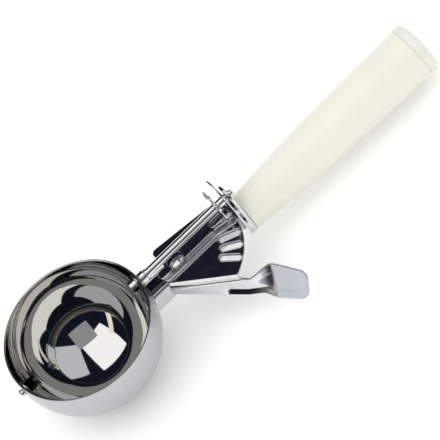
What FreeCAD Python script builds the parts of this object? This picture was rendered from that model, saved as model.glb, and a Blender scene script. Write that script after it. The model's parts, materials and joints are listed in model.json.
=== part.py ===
"""Lever ice cream scoop, a parametric FreeCAD model in millimetres.

The origin is the centre of the bowl's rim circle. +X runs along the scraper shaft towards the
handle, +Z is the way the bowl opens, and the lever stands on the -Y side.
"""

import FreeCAD, Part
import math
import os
import Sketcher
from FreeCAD import Placement, Rotation, Vector

OUT = "parts"
os.makedirs(OUT, exist_ok=True)
doc = FreeCAD.newDocument("scoop")

# Driving dimensions: millimetres and degrees, one alias per cell
SIZES = {
    "shared": {
        "run_gap": 0.06,
        "air_gap": 0.3,
        "head_land": 0.7,
        "head_chamfer": 0.45,
    },
    "bowl": {
        "bowl_radius": 33.0,
        "bowl_wall": 0.8,
        "rim_rise": 5.3,
    },
    "scraper blade": {
        "blade_gap": 0.35,
        "blade_thick": 0.8,
        "blade_width": 7.6,
        "blade_eye": 4.4,
        "hub_radius": 3.0,
        "hub_length": 3.0,
        "hub_skirt": 0.5,
    },
    "shaft and its bearings": {
        "shaft_radius": 2.0,
        "stub_radius": 1.35,
        "stub_length": 2.2,
        "bush_radius": 2.45,
        "bush_skirt": 0.1,
        "bush_reach": 3.8,
        "bush_collar": 2.9,
        "pin_radius": 1.3,
        "pin_head_radius": 1.9,
        "pin_head_height": 1.5,
        "pin_tail": 0.6,
        "pin_washer_radius": 2.3,
        "pin_washer_thick": 0.4,
        "thrust_washer_radius": 2.4,
        "thrust_washer_thick": 1.0,
        "ring_radius": 2.1,
        "ring_thick": 0.8,
    },
    "star pinion": {
        "star_beyond_slots": 2.0,
        "star_thick": 1.2,
        "star_tip": 8.3,
        "star_body_radius": 4.7,
        "tooth_sink": 0.9,
        "tooth_root_width": 2.5,
        "tooth_tip_width": 1.3,
    },
    "lever pivot": {
        "pivot_station": 50.4,
        "pivot_radius": 1.5,
        "pivot_head_radius": 4.05,
        "pivot_head_height": 1.7,
        "pivot_head_edge": 0.5,
        "spacer_radius": 2.3,
        "pivot_tail_radius": 2.8,
        "pivot_tail_height": 1.0,
        "pivot_washer_radius": 3.5,
        "pivot_washer_thick": 0.5,
    },
    "lever": {
        "lever_drop": 6.6,
        "lever_thick": 1.2,
        "lever_angle": -44.0,
        "sector_radius": 31.0,
        "sector_far_angle": 13.5,
        "slot_pitch": 12.3,
        "slot_centre": 25.3,
        "slot_length": 10.4,
        "slot_width": 3.2,
        "slot_rim_width": 0.45,
        "slot_rim_rise": 0.25,
        "fold_offset": 10.7,
        "fold_start": -1.5,
        "bend_radius": 2.9,
        "flange_start_drop": 11.7,
        "flange_end_drop": 16.5,
        "flange_spread": 1.8,
        "pad_station": 48.3,
        "pad_out": 13.4,
        "pad_drop": 13.4,
        "pad_turn": 11.0,
        "pad_lean": 43.0,
        "pad_length": 19.8,
        "pad_width": 14.4,
        "pad_corner": 5.6,
        "pad_near_corner": 1.2,
        "pad_oval_length": 12.5,
        "pad_oval_width": 7.6,
        "pad_oval_round": 3.4,
        "pad_oval_depth": 0.35,
        "neck_width": 13.9,
        "neck_end": 40.8,
        "lobe_reach": 10.6,
        "lobe_side": 1.1,
        "lobe_round": 1.9,
        "tongue_side": 11.4,
        "tongue_reach": 4.9,
        "tongue_round": 2.0,
    },
    "frame": {
        "channel_width": 10.0,
        "channel_top": 10.4,
        "channel_bottom": 20.0,
        "channel_wall": 1.2,
        "channel_bend": 2.2,
        "guard_thick": 0.9,
        "guard_radius": 7.6,
        "guard_side": 4.0,
        "guard_rise": 1.0,
        "ear_step": 0.9,
        "ear_thick": 1.4,
        "ear_radius": 5.8,
        "bolster_margin": 0.3,
        "grip_axis_drop": 16.7,
    },
    "return spring": {
        "wire_radius": 0.5,
        "coil_radius": 3.05,
        "coil_pitch": 1.15,
        "coil_turns": 6.0,
        "coil_top_drop": 9.1,
        "lever_leg_angle": -68.0,
        "lever_leg_length": 21.6,
        "frame_leg_length": 12.0,
    },
    "handle": {
        "grip_length": 98.4,
        "grip_start_radius": 8.6,
        "grip_swell_start": 28.0,
        "grip_swell_start_radius": 10.7,
        "grip_swell_end": 42.0,
        "grip_swell_end_radius": 11.45,
        "grip_swell_curve": 255.0,
        "grip_end_radius": 12.4,
        "groove_angle": 10.4,
        "groove_width": 1.8,
        "groove_depth": 0.35,
        "groove_start": 6.0,
        "groove_end": 93.0,
        "cap_length": 5.9,
        "cap_radius": 13.0,
        "cap_round": 2.6,
        "cap_crown": 1.0,
        "cap_plug_radius": 7.0,
        "cap_plug_length": 8.0,
        "tang_radius": 3.0,
        "tang_length": 62.0,
    },
}

TOOTH_COUNT = 8
SLOT_COUNT = 5
GROOVE_COUNT = 6

sheet = doc.addObject("Spreadsheet::Sheet", "sizes")
row = 1
for group, cells in SIZES.items():
    sheet.set(f"A{row}", group)
    row += 1
    for alias, number in cells.items():
        sheet.set(f"A{row}", alias)
        sheet.set(f"B{row}", str(number))
        sheet.setAlias(f"B{row}", alias)
        row += 1
doc.recompute()

WORDS = [alias for cells in SIZES.values() for alias in cells]


def bound(text):
    """An expression in cell names, with each name written as sheet cell."""
    parts = []
    word = ""
    for mark in text + " ":
        if mark.isalnum() or mark == "_":
            word += mark
            continue
        parts.append(f"sizes.{word}" if word in WORDS else word)
        parts.append(mark)
        word = ""
    return "".join(parts).strip()


def size(text):
    """The number that an expression in cell names gives now."""
    return float(sheet.evalExpression(bound(text).replace("sizes.", "")))


def bind(item, **rules):
    """Bind properties of an object to expressions in cell names."""
    for name, text in rules.items():
        item.setExpression(name.replace("__", "."), bound(text))


# Heights of the main levels, measured from the rim plane, and stations along the shaft
SHAFT_Z = "-rim_rise"
LEVER_TOP = "-rim_rise - lever_drop"
LEVER_UNDER = "-rim_rise - lever_drop - lever_thick"
CHANNEL_TOP = "-rim_rise - channel_top"
CHANNEL_UNDER = "-rim_rise - channel_bottom"
GRIP_Z = "-rim_rise - grip_axis_drop"
GUARD_START = "(pivot_station + sector_radius + air_gap)"
STAR_MIDDLE = "(pivot_station + slot_centre + star_beyond_slots)"
BOLSTER_START = f"({GUARD_START} + guard_thick)"
EAR_START = f"({BOLSTER_START} + ear_step)"
GRIP_START = f"({EAR_START} + ear_thick)"
BLADE_OUTER = "(bowl_radius - blade_gap)"


def place(item, x="0", y="0", z="0", turn=None):
    """Bind an object's position, with an optional fixed rotation."""
    if turn is not None:
        item.Placement = Placement(Vector(0, 0, 0), turn)
    rules = {"Placement__Base__x": x, "Placement__Base__y": y, "Placement__Base__z": z}
    bind(item, **rules)
    return item


ALONG_X = Rotation(Vector(0, 1, 0), 90)


def rod(name, radius, length, x="0", y="0", z=SHAFT_Z, turn=ALONG_X):
    """A cylinder, along +X unless turned."""
    item = doc.addObject("Part::Cylinder", name)
    bind(item, Radius=radius, Height=length)
    return place(item, x, y, z, turn)


def upright(name, radius, length, x, y, z):
    """A cylinder along +Z."""
    return rod(name, radius, length, x, y, z, Rotation())


def block(name, length, width, height, x, y, z):
    item = doc.addObject("Part::Box", name)
    bind(item, Length=length, Width=width, Height=height)
    return place(item, x, y, z)


def ball(name, radius, z=SHAFT_Z):
    item = doc.addObject("Part::Sphere", name)
    bind(item, Radius=radius)
    return place(item, z=z)


def fuse(name, *items):
    item = doc.addObject("Part::MultiFuse", name)
    item.Shapes = list(items)
    item.Refine = True
    return item


def cut(name, base, tool):
    item = doc.addObject("Part::Cut", name)
    item.Base = base
    item.Tool = tool
    return item


def common(name, *items):
    item = doc.addObject("Part::MultiCommon", name)
    item.Shapes = list(items)
    return item


NODES = []


def node(item, label):
    """Name a finished sub-part, which gives its file its name."""
    item.Label = label
    NODES.append(item)
    return item


def plane(body, role):
    return next(item for item in body.Origin.OriginFeatures if item.Role == role)


def new_body(name):
    return doc.addObject("PartDesign::Body", name)


def new_sketch(body, name, role, spot=("0", "0", "0"), turn=("0", "0", "0")):
    """A sketch on one of the body's own planes, moved and turned (yaw, pitch, roll) in its axes."""
    item = body.newObject("Sketcher::SketchObject", name)
    item.AttachmentSupport = [(plane(body, role), "")]
    item.MapMode = "FlatFace"
    frame = f"placement(vector({'; '.join(spot)}); rotation({'; '.join(turn)}))"
    item.setExpression("AttachmentOffset", bound(frame))
    return item


def pin_point(item, geometry, position, x=None, y=None):
    """Hold one point of a sketch at expressions in x, y or both."""
    for kind, text in (("DistanceX", x), ("DistanceY", y)):
        if text is None:
            continue
        where = item.addConstraint(Sketcher.Constraint(kind, -1, 1, geometry, position, size(text)))
        item.setExpression(f"Constraints[{where}]", bound(text))


def outline(item, corners):
    """A closed outline. A corner is (x, y), or (x, y, radius, side) where the edge that leaves it
    is an arc bulging to the right (side 1) or to the left (side -1) of its chord."""
    spots = [Vector(size(c[0]), size(c[1]), 0) for c in corners]
    ends = []
    for k, corner in enumerate(corners):
        start, stop = spots[k], spots[(k + 1) % len(corners)]
        if len(corner) == 2:
            where = item.addGeometry(Part.LineSegment(start, stop))
            ends.append((where, 1, 2))
            continue
        chord = stop.sub(start)
        radius = size(corner[2])
        inward = Vector(-chord.y, chord.x, 0).normalize()
        reach = corner[3] * math.sqrt(radius ** 2 - (chord.Length / 2) ** 2)
        centre = start.add(stop).multiply(0.5).add(inward.multiply(reach))
        first, last = (start, stop) if corner[3] > 0 else (stop, start)
        angles = [math.atan2(spot.y - centre.y, spot.x - centre.x) for spot in (first, last)]
        round_edge = Part.ArcOfCircle(Part.Circle(centre, Vector(0, 0, 1), radius), *angles)
        where = item.addGeometry(round_edge)
        ends.append((where, 1, 2) if corner[3] > 0 else (where, 2, 1))
        mark = item.addConstraint(Sketcher.Constraint("Radius", where, radius))
        item.setExpression(f"Constraints[{mark}]", bound(corner[2]))
    for k, (where, begin, finish) in enumerate(ends):
        after, after_begin, _ = ends[(k + 1) % len(ends)]
        item.addConstraint(Sketcher.Constraint("Coincident", where, finish, after, after_begin))
        pin_point(item, where, begin, corners[k][0], corners[k][1])


def circle(item, radius, x="0", y="0"):
    where = item.addGeometry(Part.Circle(Vector(size(x), size(y), 0), Vector(0, 0, 1), size(radius)))
    pin_point(item, where, 3, x, y)
    mark = item.addConstraint(Sketcher.Constraint("Radius", where, size(radius)))
    item.setExpression(f"Constraints[{mark}]", bound(radius))


def pad(body, name, sketch, length, back=False):
    item = body.newObject("PartDesign::Pad", name)
    item.Profile = sketch
    bind(item, Length=length)
    item.Reversed = back
    sketch.Visibility = False
    doc.recompute()
    return item


def pocket(body, name, sketch, length=None, back=False):
    """A pocket; without a length it goes through all, both ways."""
    before = body.Shape.Volume
    item = body.newObject("PartDesign::Pocket", name)
    item.Profile = sketch
    if length is None:
        item.Type = "ThroughAll"
        item.Midplane = True
    else:
        bind(item, Length=length)
        item.Reversed = back
    doc.recompute()
    if body.Shape.Volume > before - 1e-4:
        raise ValueError(f"{name} cuts nothing")
    return item


def revolve(body, name, sketch, axis="V_Axis"):
    item = body.newObject("PartDesign::Revolution", name)
    item.Profile = sketch
    item.ReferenceAxis = (sketch, [axis])
    item.Angle = 360
    doc.recompute()
    return item


def turned(name, label, profile, x, y="0", z=SHAFT_Z, turn=ALONG_X):
    """A lathe-turned body: profile holds (radius, height) corners about its own z axis."""
    body = new_body(name)
    sketch = new_sketch(body, name + "_profile", "XZ_Plane")
    outline(sketch, profile)
    revolve(body, name + "_turn", sketch)
    place(body, x, y, z, turn)
    return node(body, label)


def edges_where(shape, test):
    return [f"Edge{k + 1}" for k, edge in enumerate(shape.Edges) if test(edge)]


def fillet(body, name, radius, test):
    """Round the edges that a test picks."""
    base = body.Tip
    item = body.newObject("PartDesign::Fillet", name)
    item.Base = (base, edges_where(base.Shape, test))
    bind(item, Radius=radius)
    doc.recompute()
    return item


# Bowl: a hemisphere of sheet with a short straight wall up to the rim
def bowl_form(name, radius):
    """The solid that a bowl surface of this radius encloses, open end at the rim plane."""
    low = ball(name + "_round", radius)
    bind(low, Angle1="-90", Angle2="0")
    high = upright(name + "_straight", radius, "rim_rise", "0", "0", SHAFT_Z)
    return fuse(name, low, high)


BOWL_OUTER = "(bowl_radius + bowl_wall)"
shell = cut("bowl_shell", bowl_form("bowl_outside", BOWL_OUTER), bowl_form("bowl_inside", "bowl_radius"))
bush_hole = rod("bush_hole", "bush_radius", "bowl_radius", "bowl_radius / 2")
pin_hole = rod("pin_hole", "pin_radius + run_gap", "bowl_radius", "-bowl_radius * 1.5")
node(cut("bowl_body", shell, fuse("bowl_holes", bush_hole, pin_hole)), "bowl")

# Front bush: passes through the bowl wall and guides the shaft
BUSH_START = "(bowl_radius - bush_skirt)"
BUSH_END = "(bowl_radius + bush_reach)"
turned("front_bush", "front_shaft_bush", [
    ("shaft_radius + run_gap", "0"),
    ("bush_radius", "0"),
    ("bush_radius", "bush_skirt + bowl_wall"),
    ("bush_collar", "bush_skirt + bowl_wall"),
    ("bush_collar", "bush_skirt + bush_reach"),
    ("shaft_radius + run_gap", "bush_skirt + bush_reach"),
], BUSH_START)

# Scraper blade: a strip of a sphere's skin, with round eyes on the shaft axis at both ends
skin = cut("blade_skin", ball("blade_ball", BLADE_OUTER), ball("blade_hollow", f"{BLADE_OUTER} - blade_thick"))
strip = block("blade_strip", f"2 * {BLADE_OUTER}", BLADE_OUTER, "blade_width",
              f"-{BLADE_OUTER}", f"-{BLADE_OUTER}", f"{SHAFT_Z} - blade_width / 2")
eyes = rod("blade_eyes", "blade_eye", f"2 * {BLADE_OUTER}", f"-{BLADE_OUTER}")
blade = common("blade_blank", skin, fuse("blade_outline", strip, eyes))
front_eye = rod("front_eye_hole", "shaft_radius", "bowl_radius", "bowl_radius / 2")
rear_eye = rod("rear_eye_hole", "pin_radius", "bowl_radius", "-bowl_radius * 1.5")
node(cut("blade_body", blade, fuse("blade_holes", front_eye, rear_eye)), "scraper_blade")

# Blade hub: the collar on the shaft's inner end that carries the blade
HUB_END = f"({BLADE_OUTER} - blade_thick - hub_skirt)"
turned("blade_hub", "blade_hub", [
    ("shaft_radius", "0"),
    ("hub_radius", "0"),
    ("hub_radius", "hub_length"),
    ("shaft_radius", "hub_length"),
], f"{HUB_END} - hub_length")

# Blade pivot pin, outside to inside: domed head, shank through the bowl, riveted end in the blade
turned("blade_pin", "blade_pivot_pin", [
    ("0", "0"),
    ("pin_head_radius * head_land", "0"),
    ("pin_head_radius", "pin_head_height * head_chamfer"),
    ("pin_head_radius", "pin_head_height"),
    ("pin_radius", "pin_head_height"),
    ("pin_radius", "pin_head_height + air_gap + bowl_wall + blade_gap + blade_thick + pin_tail"),
    ("0", "pin_head_height + air_gap + bowl_wall + blade_gap + blade_thick + pin_tail"),
], f"-{BOWL_OUTER} - air_gap - pin_head_height")

turned("blade_pin_washer", "blade_pivot_washer", [
    ("pin_radius", "0"),
    ("pin_washer_radius", "0"),
    ("pin_washer_radius", "pin_washer_thick"),
    ("pin_radius", "pin_washer_thick"),
], f"-sqrt(({BLADE_OUTER} - blade_thick) ^ 2 - pin_washer_radius ^ 2)")

# Scraper shaft: from the blade hub to the ear, then a thinner journal through it
SHAFT_START = f"({HUB_END} - hub_length)"
SHOULDER = f"({EAR_START} - air_gap / 2)"
JOURNAL_END = f"({GRIP_START} + stub_length)"
turned("shaft_body", "scraper_shaft", [
    ("0", "0"),
    ("shaft_radius", "0"),
    ("shaft_radius", f"{SHOULDER} - {SHAFT_START}"),
    ("stub_radius", f"{SHOULDER} - {SHAFT_START}"),
    ("stub_radius", f"{JOURNAL_END} - {SHAFT_START}"),
    ("0", f"{JOURNAL_END} - {SHAFT_START}"),
], SHAFT_START)

turned("thrust_washer", "shaft_thrust_washer", [
    ("shaft_radius", "0"),
    ("thrust_washer_radius", "0"),
    ("thrust_washer_radius", "thrust_washer_thick"),
    ("shaft_radius", "thrust_washer_thick"),
], f"{BUSH_END} + run_gap")

turned("end_ring", "shaft_end_ring", [
    ("stub_radius", "0"),
    ("ring_radius", "0"),
    ("ring_radius", "ring_thick"),
    ("stub_radius", "ring_thick"),
], f"{GRIP_START} + run_gap")

# Star pinion: a stamped star, staked to the shaft
star = new_body("star_body")
disc_sketch = new_sketch(star, "star_disc_profile", "YZ_Plane")
circle(disc_sketch, "star_body_radius")
pad(star, "star_disc", disc_sketch, "star_thick")
tooth_sketch = new_sketch(star, "tooth_profile", "YZ_Plane")
TIP_SHOULDER = "(star_tip - tooth_tip_width / 2)"
outline(tooth_sketch, [
    ("-tooth_root_width / 2", "tooth_sink - star_body_radius"),
    ("-tooth_tip_width / 2", f"-{TIP_SHOULDER}"),
    ("-tooth_tip_width / 4", "-star_tip"),
    ("tooth_tip_width / 4", "-star_tip"),
    ("tooth_tip_width / 2", f"-{TIP_SHOULDER}"),
    ("tooth_root_width / 2", "tooth_sink - star_body_radius"),
])
tooth = pad(star, "tooth", tooth_sketch, "star_thick")
teeth = star.newObject("PartDesign::PolarPattern", "teeth")
teeth.Originals = [tooth]
teeth.Axis = (plane(star, "X_Axis"), [""])
teeth.Angle = 360
teeth.Occurrences = TOOTH_COUNT
star.Tip = teeth
doc.recompute()
bore_sketch = new_sketch(star, "star_bore_profile", "YZ_Plane")
circle(bore_sketch, "shaft_radius")
pocket(star, "star_bore", bore_sketch)
place(star, f"{STAR_MIDDLE} - star_thick / 2", "0", SHAFT_Z)
node(star, "star_pinion")

# Frame channel: a trough of sheet, open towards the lever, cut to the bowl and up to the guard
trough = new_body("channel_trough")
trough_sketch = new_sketch(trough, "trough_profile", "YZ_Plane")
HALF = "channel_width / 2"
outline(trough_sketch, [
    (f"-{HALF}", "-channel_top"),
    (f"-{HALF}", "-channel_bottom + channel_bend", "channel_bend", 1),
    (f"-{HALF} + channel_bend", "-channel_bottom"),
    (f"{HALF} - channel_bend", "-channel_bottom", "channel_bend", 1),
    (HALF, "-channel_bottom + channel_bend"),
    (HALF, "-channel_top"),
    (f"{HALF} - channel_wall", "-channel_top"),
    (f"{HALF} - channel_wall", "-channel_bottom + channel_bend", "channel_bend - channel_wall", -1),
    (f"{HALF} - channel_bend", "-channel_bottom + channel_wall"),
    (f"-{HALF} + channel_bend", "-channel_bottom + channel_wall", "channel_bend - channel_wall", -1),
    (f"-{HALF} + channel_wall", "-channel_bottom + channel_bend"),
    (f"-{HALF} + channel_wall", "-channel_top"),
])
TROUGH_START = "(bowl_radius / 2)"
pad(trough, "trough", trough_sketch, f"{GUARD_START} - {TROUGH_START}")
place(trough, TROUGH_START, "0", SHAFT_Z)
bowl_cut = ball("channel_bowl_cut", BOWL_OUTER)
rivet_hole = upright("channel_rivet_hole", "pivot_radius", "2 * channel_wall",
                     "pivot_station", "0", f"{CHANNEL_UNDER} - channel_wall / 2")
node(cut("channel_body", trough, fuse("channel_cuts", bowl_cut, rivet_hole)), "frame_channel")


def teardrop(name, lower, upper, thick, x, side="0", rise="0"):
    """A plate across the shaft: a disc on the handle's axis, one by the shaft, and their tangents.
    The upper disc's centre is to the side of the shaft and above it by the two last sizes."""
    drop = f"sqrt(({side}) ^ 2 + (grip_axis_drop + {rise}) ^ 2)"
    lean = f"asin(({lower} - {upper}) / {drop})"
    swing = f"atan2(-({side}); grip_axis_drop + {rise})"
    wing = doc.addObject("Part::MultiFuse", name)
    body = new_body(name + "_web")
    sketch = new_sketch(body, name + "_web_profile", "YZ_Plane", (side, rise, "0"), (swing, "0", "0"))
    outline(sketch, [
        (f"-{lower} * cos({lean})", f"{lower} * sin({lean}) - {drop}"),
        (f"{lower} * cos({lean})", f"{lower} * sin({lean}) - {drop}"),
        (f"{upper} * cos({lean})", f"{upper} * sin({lean})"),
        (f"-{upper} * cos({lean})", f"{upper} * sin({lean})"),
    ])
    pad(body, name + "_web_pad", sketch, thick)
    place(body, x, "0", SHAFT_Z)
    low = rod(name + "_low", lower, thick, x, "0", GRIP_Z)
    high = rod(name + "_high", upper, thick, x, side, f"{SHAFT_Z} + {rise}")
    wing.Shapes = [body, low, high]
    return wing


# Guard: the thin plate that keeps the fingers off the pinion
BOLSTER = "(grip_start_radius + bolster_margin)"
guard = teardrop("guard_blank", BOLSTER, "guard_radius", "guard_thick", GUARD_START,
                 "guard_side", "guard_rise")
guard_hole = rod("guard_hole", "shaft_radius + air_gap", "2 * guard_thick",
                 f"{GUARD_START} - guard_thick / 2")
node(cut("guard_body", guard, guard_hole), "finger_guard")

# Bolster: the ear that carries the shaft's rear journal, on a thick foot that backs the handle
ear = teardrop("ear_blank", BOLSTER, "ear_radius", "ear_thick", EAR_START)
foot = rod("bolster_foot", BOLSTER, "ear_step", BOLSTER_START, "0", GRIP_Z)
journal_hole = rod("journal_hole", "stub_radius + run_gap", "2 * ear_thick", f"{EAR_START} - ear_thick / 2")
tang_hole = rod("tang_hole", "tang_radius", "2 * (ear_step + ear_thick)",
                f"{BOLSTER_START} - ear_step / 2", "0", GRIP_Z)
node(cut("bolster_body", fuse("bolster_blank", ear, foot), fuse("bolster_holes", journal_hole, tang_hole)),
     "handle_bolster")

# Tang: the steel rod inside the handle, riveted over in the bolster
node(rod("tang_body", "tang_radius", "tang_length + ear_step + ear_thick", BOLSTER_START, "0", GRIP_Z),
     "handle_tang")

# Lever pivot: rivet through the channel floor, spacer, washer, lever, domed head on top
HEAD_FLOOR = f"{LEVER_TOP} + run_gap"
TAIL = f"({CHANNEL_UNDER} - pivot_tail_height)"
CROWN = "(pivot_head_height - pivot_head_edge)"
DOME = f"((pivot_head_radius ^ 2 + {CROWN} ^ 2) / (2 * {CROWN}))"
turned("pivot_rivet_body", "lever_pivot_rivet", [
    ("0", "0"),
    ("pivot_tail_radius * head_land", "0"),
    ("pivot_tail_radius", "pivot_tail_height * head_chamfer"),
    ("pivot_tail_radius", "pivot_tail_height"),
    ("pivot_radius", "pivot_tail_height"),
    ("pivot_radius", f"{HEAD_FLOOR} - {TAIL}"),
    ("pivot_head_radius", f"{HEAD_FLOOR} - {TAIL}"),
    ("pivot_head_radius", f"{HEAD_FLOOR} - {TAIL} + pivot_head_edge", DOME, 1),
    ("0", f"{HEAD_FLOOR} - {TAIL} + pivot_head_height"),
], "pivot_station", "0", TAIL, Rotation())
WASHER_FLOOR = f"({LEVER_UNDER} - run_gap - pivot_washer_thick)"
turned("pivot_spacer_body", "pivot_spacer", [
    ("pivot_radius", "0"),
    ("spacer_radius", "0"),
    ("spacer_radius", f"{WASHER_FLOOR} - ({CHANNEL_UNDER}) - channel_wall"),
    ("pivot_radius", f"{WASHER_FLOOR} - ({CHANNEL_UNDER}) - channel_wall"),
], "pivot_station", "0", f"{CHANNEL_UNDER} + channel_wall", Rotation())
turned("pivot_washer_body", "pivot_washer", [
    ("pivot_radius", "0"),
    ("pivot_washer_radius", "0"),
    ("pivot_washer_radius", "pivot_washer_thick"),
    ("pivot_radius", "pivot_washer_thick"),
], "pivot_station", "0", WASHER_FLOOR, Rotation())

# Lever: one stamped sheet, from the slotted sector round the fold and down the arm to the thumb pad.
# Its own origin is on the pivot axis at the shaft's height.
lever = new_body("lever_body")
ALONG = ("cos(lever_angle)", "sin(lever_angle)")
OUTWARD = ("sin(lever_angle)", "(0 - cos(lever_angle))")


def arm_spot(station, out="0"):
    """Plan position at a distance along the arm and a distance out from it, about the pivot."""
    return tuple(f"(({station}) * {ALONG[k]} + ({out}) * {OUTWARD[k]})" for k in (0, 1))


def arm_section(name, station):
    """A sketch across the arm: x outwards, y up."""
    return new_sketch(lever, name, "XY_Plane", (*arm_spot(station), "0"), ("lever_angle - 90", "0", "90"))


FOLD_END = "sqrt(sector_radius ^ 2 - fold_offset ^ 2)"
UNDER = "(0 - lever_drop - lever_thick)"
sector_sketch = new_sketch(lever, "sector_profile", "XY_Plane", ("0", "0", UNDER))
FAR = ("sector_radius * cos(sector_far_angle)", "sector_radius * sin(sector_far_angle)")
outline(sector_sketch, [
    arm_spot("fold_start", "fold_offset"),
    (*arm_spot(FOLD_END, "fold_offset"), "sector_radius", 1),
    FAR,
    ("-tongue_reach", "tongue_side"),
    ("-tongue_reach", "lobe_side"),
    ("-lobe_reach", "lobe_side"),
])
pad(lever, "sector", sector_sketch, "lever_thick")
sharp = (("-lobe_reach", "lobe_side", "lobe_round"), ("-tongue_reach", "tongue_side", "tongue_round"))
for number, (x, y, radius) in enumerate(sharp):
    spot = Vector(size(x), size(y), 0)

    def at_corner(edge, spot=spot):
        ends = [vertex.Point for vertex in edge.Vertexes]
        flat = [math.hypot(point.x - spot.x, point.y - spot.y) < 1e-3 for point in ends]
        return len(ends) == 2 and all(flat)

    fillet(lever, f"sector_corner_{number + 1}", radius, at_corner)

BEND_Z = "(0 - lever_drop - bend_radius)"
FACE_OUT = "(fold_offset + bend_radius)"
bend_sketch = arm_section("bend_profile", "fold_start")
outline(bend_sketch, [
    ("fold_offset", UNDER, "bend_radius - lever_thick", -1),
    (f"{FACE_OUT} - lever_thick", BEND_Z),
    (FACE_OUT, BEND_Z, "bend_radius", 1),
    ("fold_offset", "-lever_drop"),
])
pad(lever, "bend", bend_sketch, f"{FOLD_END} - fold_start", back=True)


def flange_section(name, station, top, bottom):
    """A cross-section of the arm: top and bottom are (out, down) of its outer face."""
    sketch = arm_section(name, station)
    outline(sketch, [
        (top[0], f"-({top[1]})"),
        (f"{top[0]} - lever_thick", f"-({top[1]})"),
        (f"{bottom[0]} - lever_thick", f"-({bottom[1]})"),
        (bottom[0], f"-({bottom[1]})"),
    ])
    return sketch


def loft(name, *sketches):
    item = lever.newObject("PartDesign::AdditiveLoft", name)
    item.Profile = sketches[0]
    item.Sections = list(sketches[1:])
    item.Ruled = True
    doc.recompute()
    return item


FLANGE_TOP = (FACE_OUT, "lever_drop + bend_radius")
FLANGE_END = (f"({FACE_OUT} + flange_spread)", "flange_end_drop")
first = flange_section("flange_start_section", "fold_start", FLANGE_TOP, (FACE_OUT, "flange_start_drop"))
second = flange_section("flange_end_section", FOLD_END, FLANGE_TOP, FLANGE_END)
loft("flange", first, second)

# The pad's own plane: x along the pad, y up its slope, z out of its face
PAD_TURN = ("lever_angle - pad_turn", "0", "90 - pad_lean")
PAD_SPOT = (*arm_spot("pad_station", "pad_out"), "-pad_drop")


def pad_point(along, up, deep="0"):
    """(out, down) across the arm and the station of a point given in the pad's own plane."""
    out = (f"(pad_out + ({along}) * sin(pad_turn) - (({up}) * sin(pad_lean) - ({deep}) * cos(pad_lean))"
           f" * cos(pad_turn))")
    down = f"(pad_drop - ({up}) * cos(pad_lean) - ({deep}) * sin(pad_lean))"
    return out, down


NECK_BACK = "(neck_end - pad_station)"
neck_low = pad_point(NECK_BACK, "-neck_width / 2")
neck_high = pad_point(NECK_BACK, "neck_width / 2")
neck_low_in = pad_point(NECK_BACK, "-neck_width / 2", "-lever_thick")
neck_high_in = pad_point(NECK_BACK, "neck_width / 2", "-lever_thick")
neck_start = flange_section("neck_start_section", FOLD_END, FLANGE_TOP, FLANGE_END)
neck_stop = arm_section("neck_end_section", "neck_end")
outline(neck_stop, [(out, f"-{down}") for out, down in (neck_high, neck_high_in, neck_low_in, neck_low)])
loft("neck", neck_start, neck_stop)

pad_sketch = new_sketch(lever, "pad_profile", "XY_Plane", PAD_SPOT, PAD_TURN)
half_long, half_wide = "pad_length / 2", "pad_width / 2"
outline(pad_sketch, [
    (f"-{half_long} + pad_near_corner", f"-{half_wide}"),
    (f"{half_long} - pad_corner", f"-{half_wide}", "pad_corner", 1),
    (half_long, f"-{half_wide} + pad_corner"),
    (half_long, f"{half_wide} - pad_corner", "pad_corner", 1),
    (f"{half_long} - pad_corner", half_wide),
    (f"-{half_long} + pad_near_corner", half_wide, "pad_near_corner", 1),
    (f"-{half_long}", f"{half_wide} - pad_near_corner"),
    (f"-{half_long}", f"-{half_wide} + pad_near_corner", "pad_near_corner", 1),
])
pad(lever, "thumb_pad", pad_sketch, "lever_thick", back=True)
oval_sketch = new_sketch(lever, "oval_profile", "XY_Plane", PAD_SPOT, PAD_TURN)
oval_long, oval_wide = "pad_oval_length / 2", "pad_oval_width / 2"
outline(oval_sketch, [
    (f"-{oval_long} + pad_oval_round", f"-{oval_wide}"),
    (f"{oval_long} - pad_oval_round", f"-{oval_wide}", "pad_oval_round", 1),
    (oval_long, f"-{oval_wide} + pad_oval_round"),
    (oval_long, f"{oval_wide} - pad_oval_round", "pad_oval_round", 1),
    (f"{oval_long} - pad_oval_round", oval_wide),
    (f"-{oval_long} + pad_oval_round", oval_wide, "pad_oval_round", 1),
    (f"-{oval_long}", f"{oval_wide} - pad_oval_round"),
    (f"-{oval_long}", f"-{oval_wide} + pad_oval_round", "pad_oval_round", 1),
])
pocket(lever, "pad_oval", oval_sketch, "pad_oval_depth")


def slot_forms(kind, name, length, width, start, depth):
    """The straight part and the two round ends of a slot or its rim, as pads or pockets."""
    made = []
    for piece in ("middle", "ends"):
        sketch = new_sketch(lever, f"{name}_{piece}_profile", "XY_Plane", ("0", "0", start))
        inner = f"slot_centre - ({length} - {width}) / 2"
        outer = f"slot_centre + ({length} - {width}) / 2"
        if piece == "middle":
            outline(sketch, [
                (inner, f"-({width}) / 2"),
                (outer, f"-({width}) / 2"),
                (outer, f"({width}) / 2"),
                (inner, f"({width}) / 2"),
            ])
        else:
            circle(sketch, f"({width}) / 2", inner)
            circle(sketch, f"({width}) / 2", outer)
        made.append(kind(lever, f"{name}_{piece}", sketch, depth))
    fan = lever.newObject("PartDesign::PolarPattern", name + "_fan")
    fan.Originals = made
    fan.Axis = (plane(lever, "Z_Axis"), [""])
    bind(fan, Angle=f"slot_pitch * {SLOT_COUNT - 1}")
    fan.Occurrences = SLOT_COUNT
    fan.Reversed = True
    lever.Tip = fan
    doc.recompute()


slot_forms(pad, "slot_rim", "(slot_length + 2 * slot_rim_width)", "(slot_width + 2 * slot_rim_width)",
           UNDER, "lever_thick + slot_rim_rise")
slot_forms(pocket, "slot", "slot_length", "slot_width", "slot_rim_rise - lever_drop",
           "lever_thick + 2 * slot_rim_rise")

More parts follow.
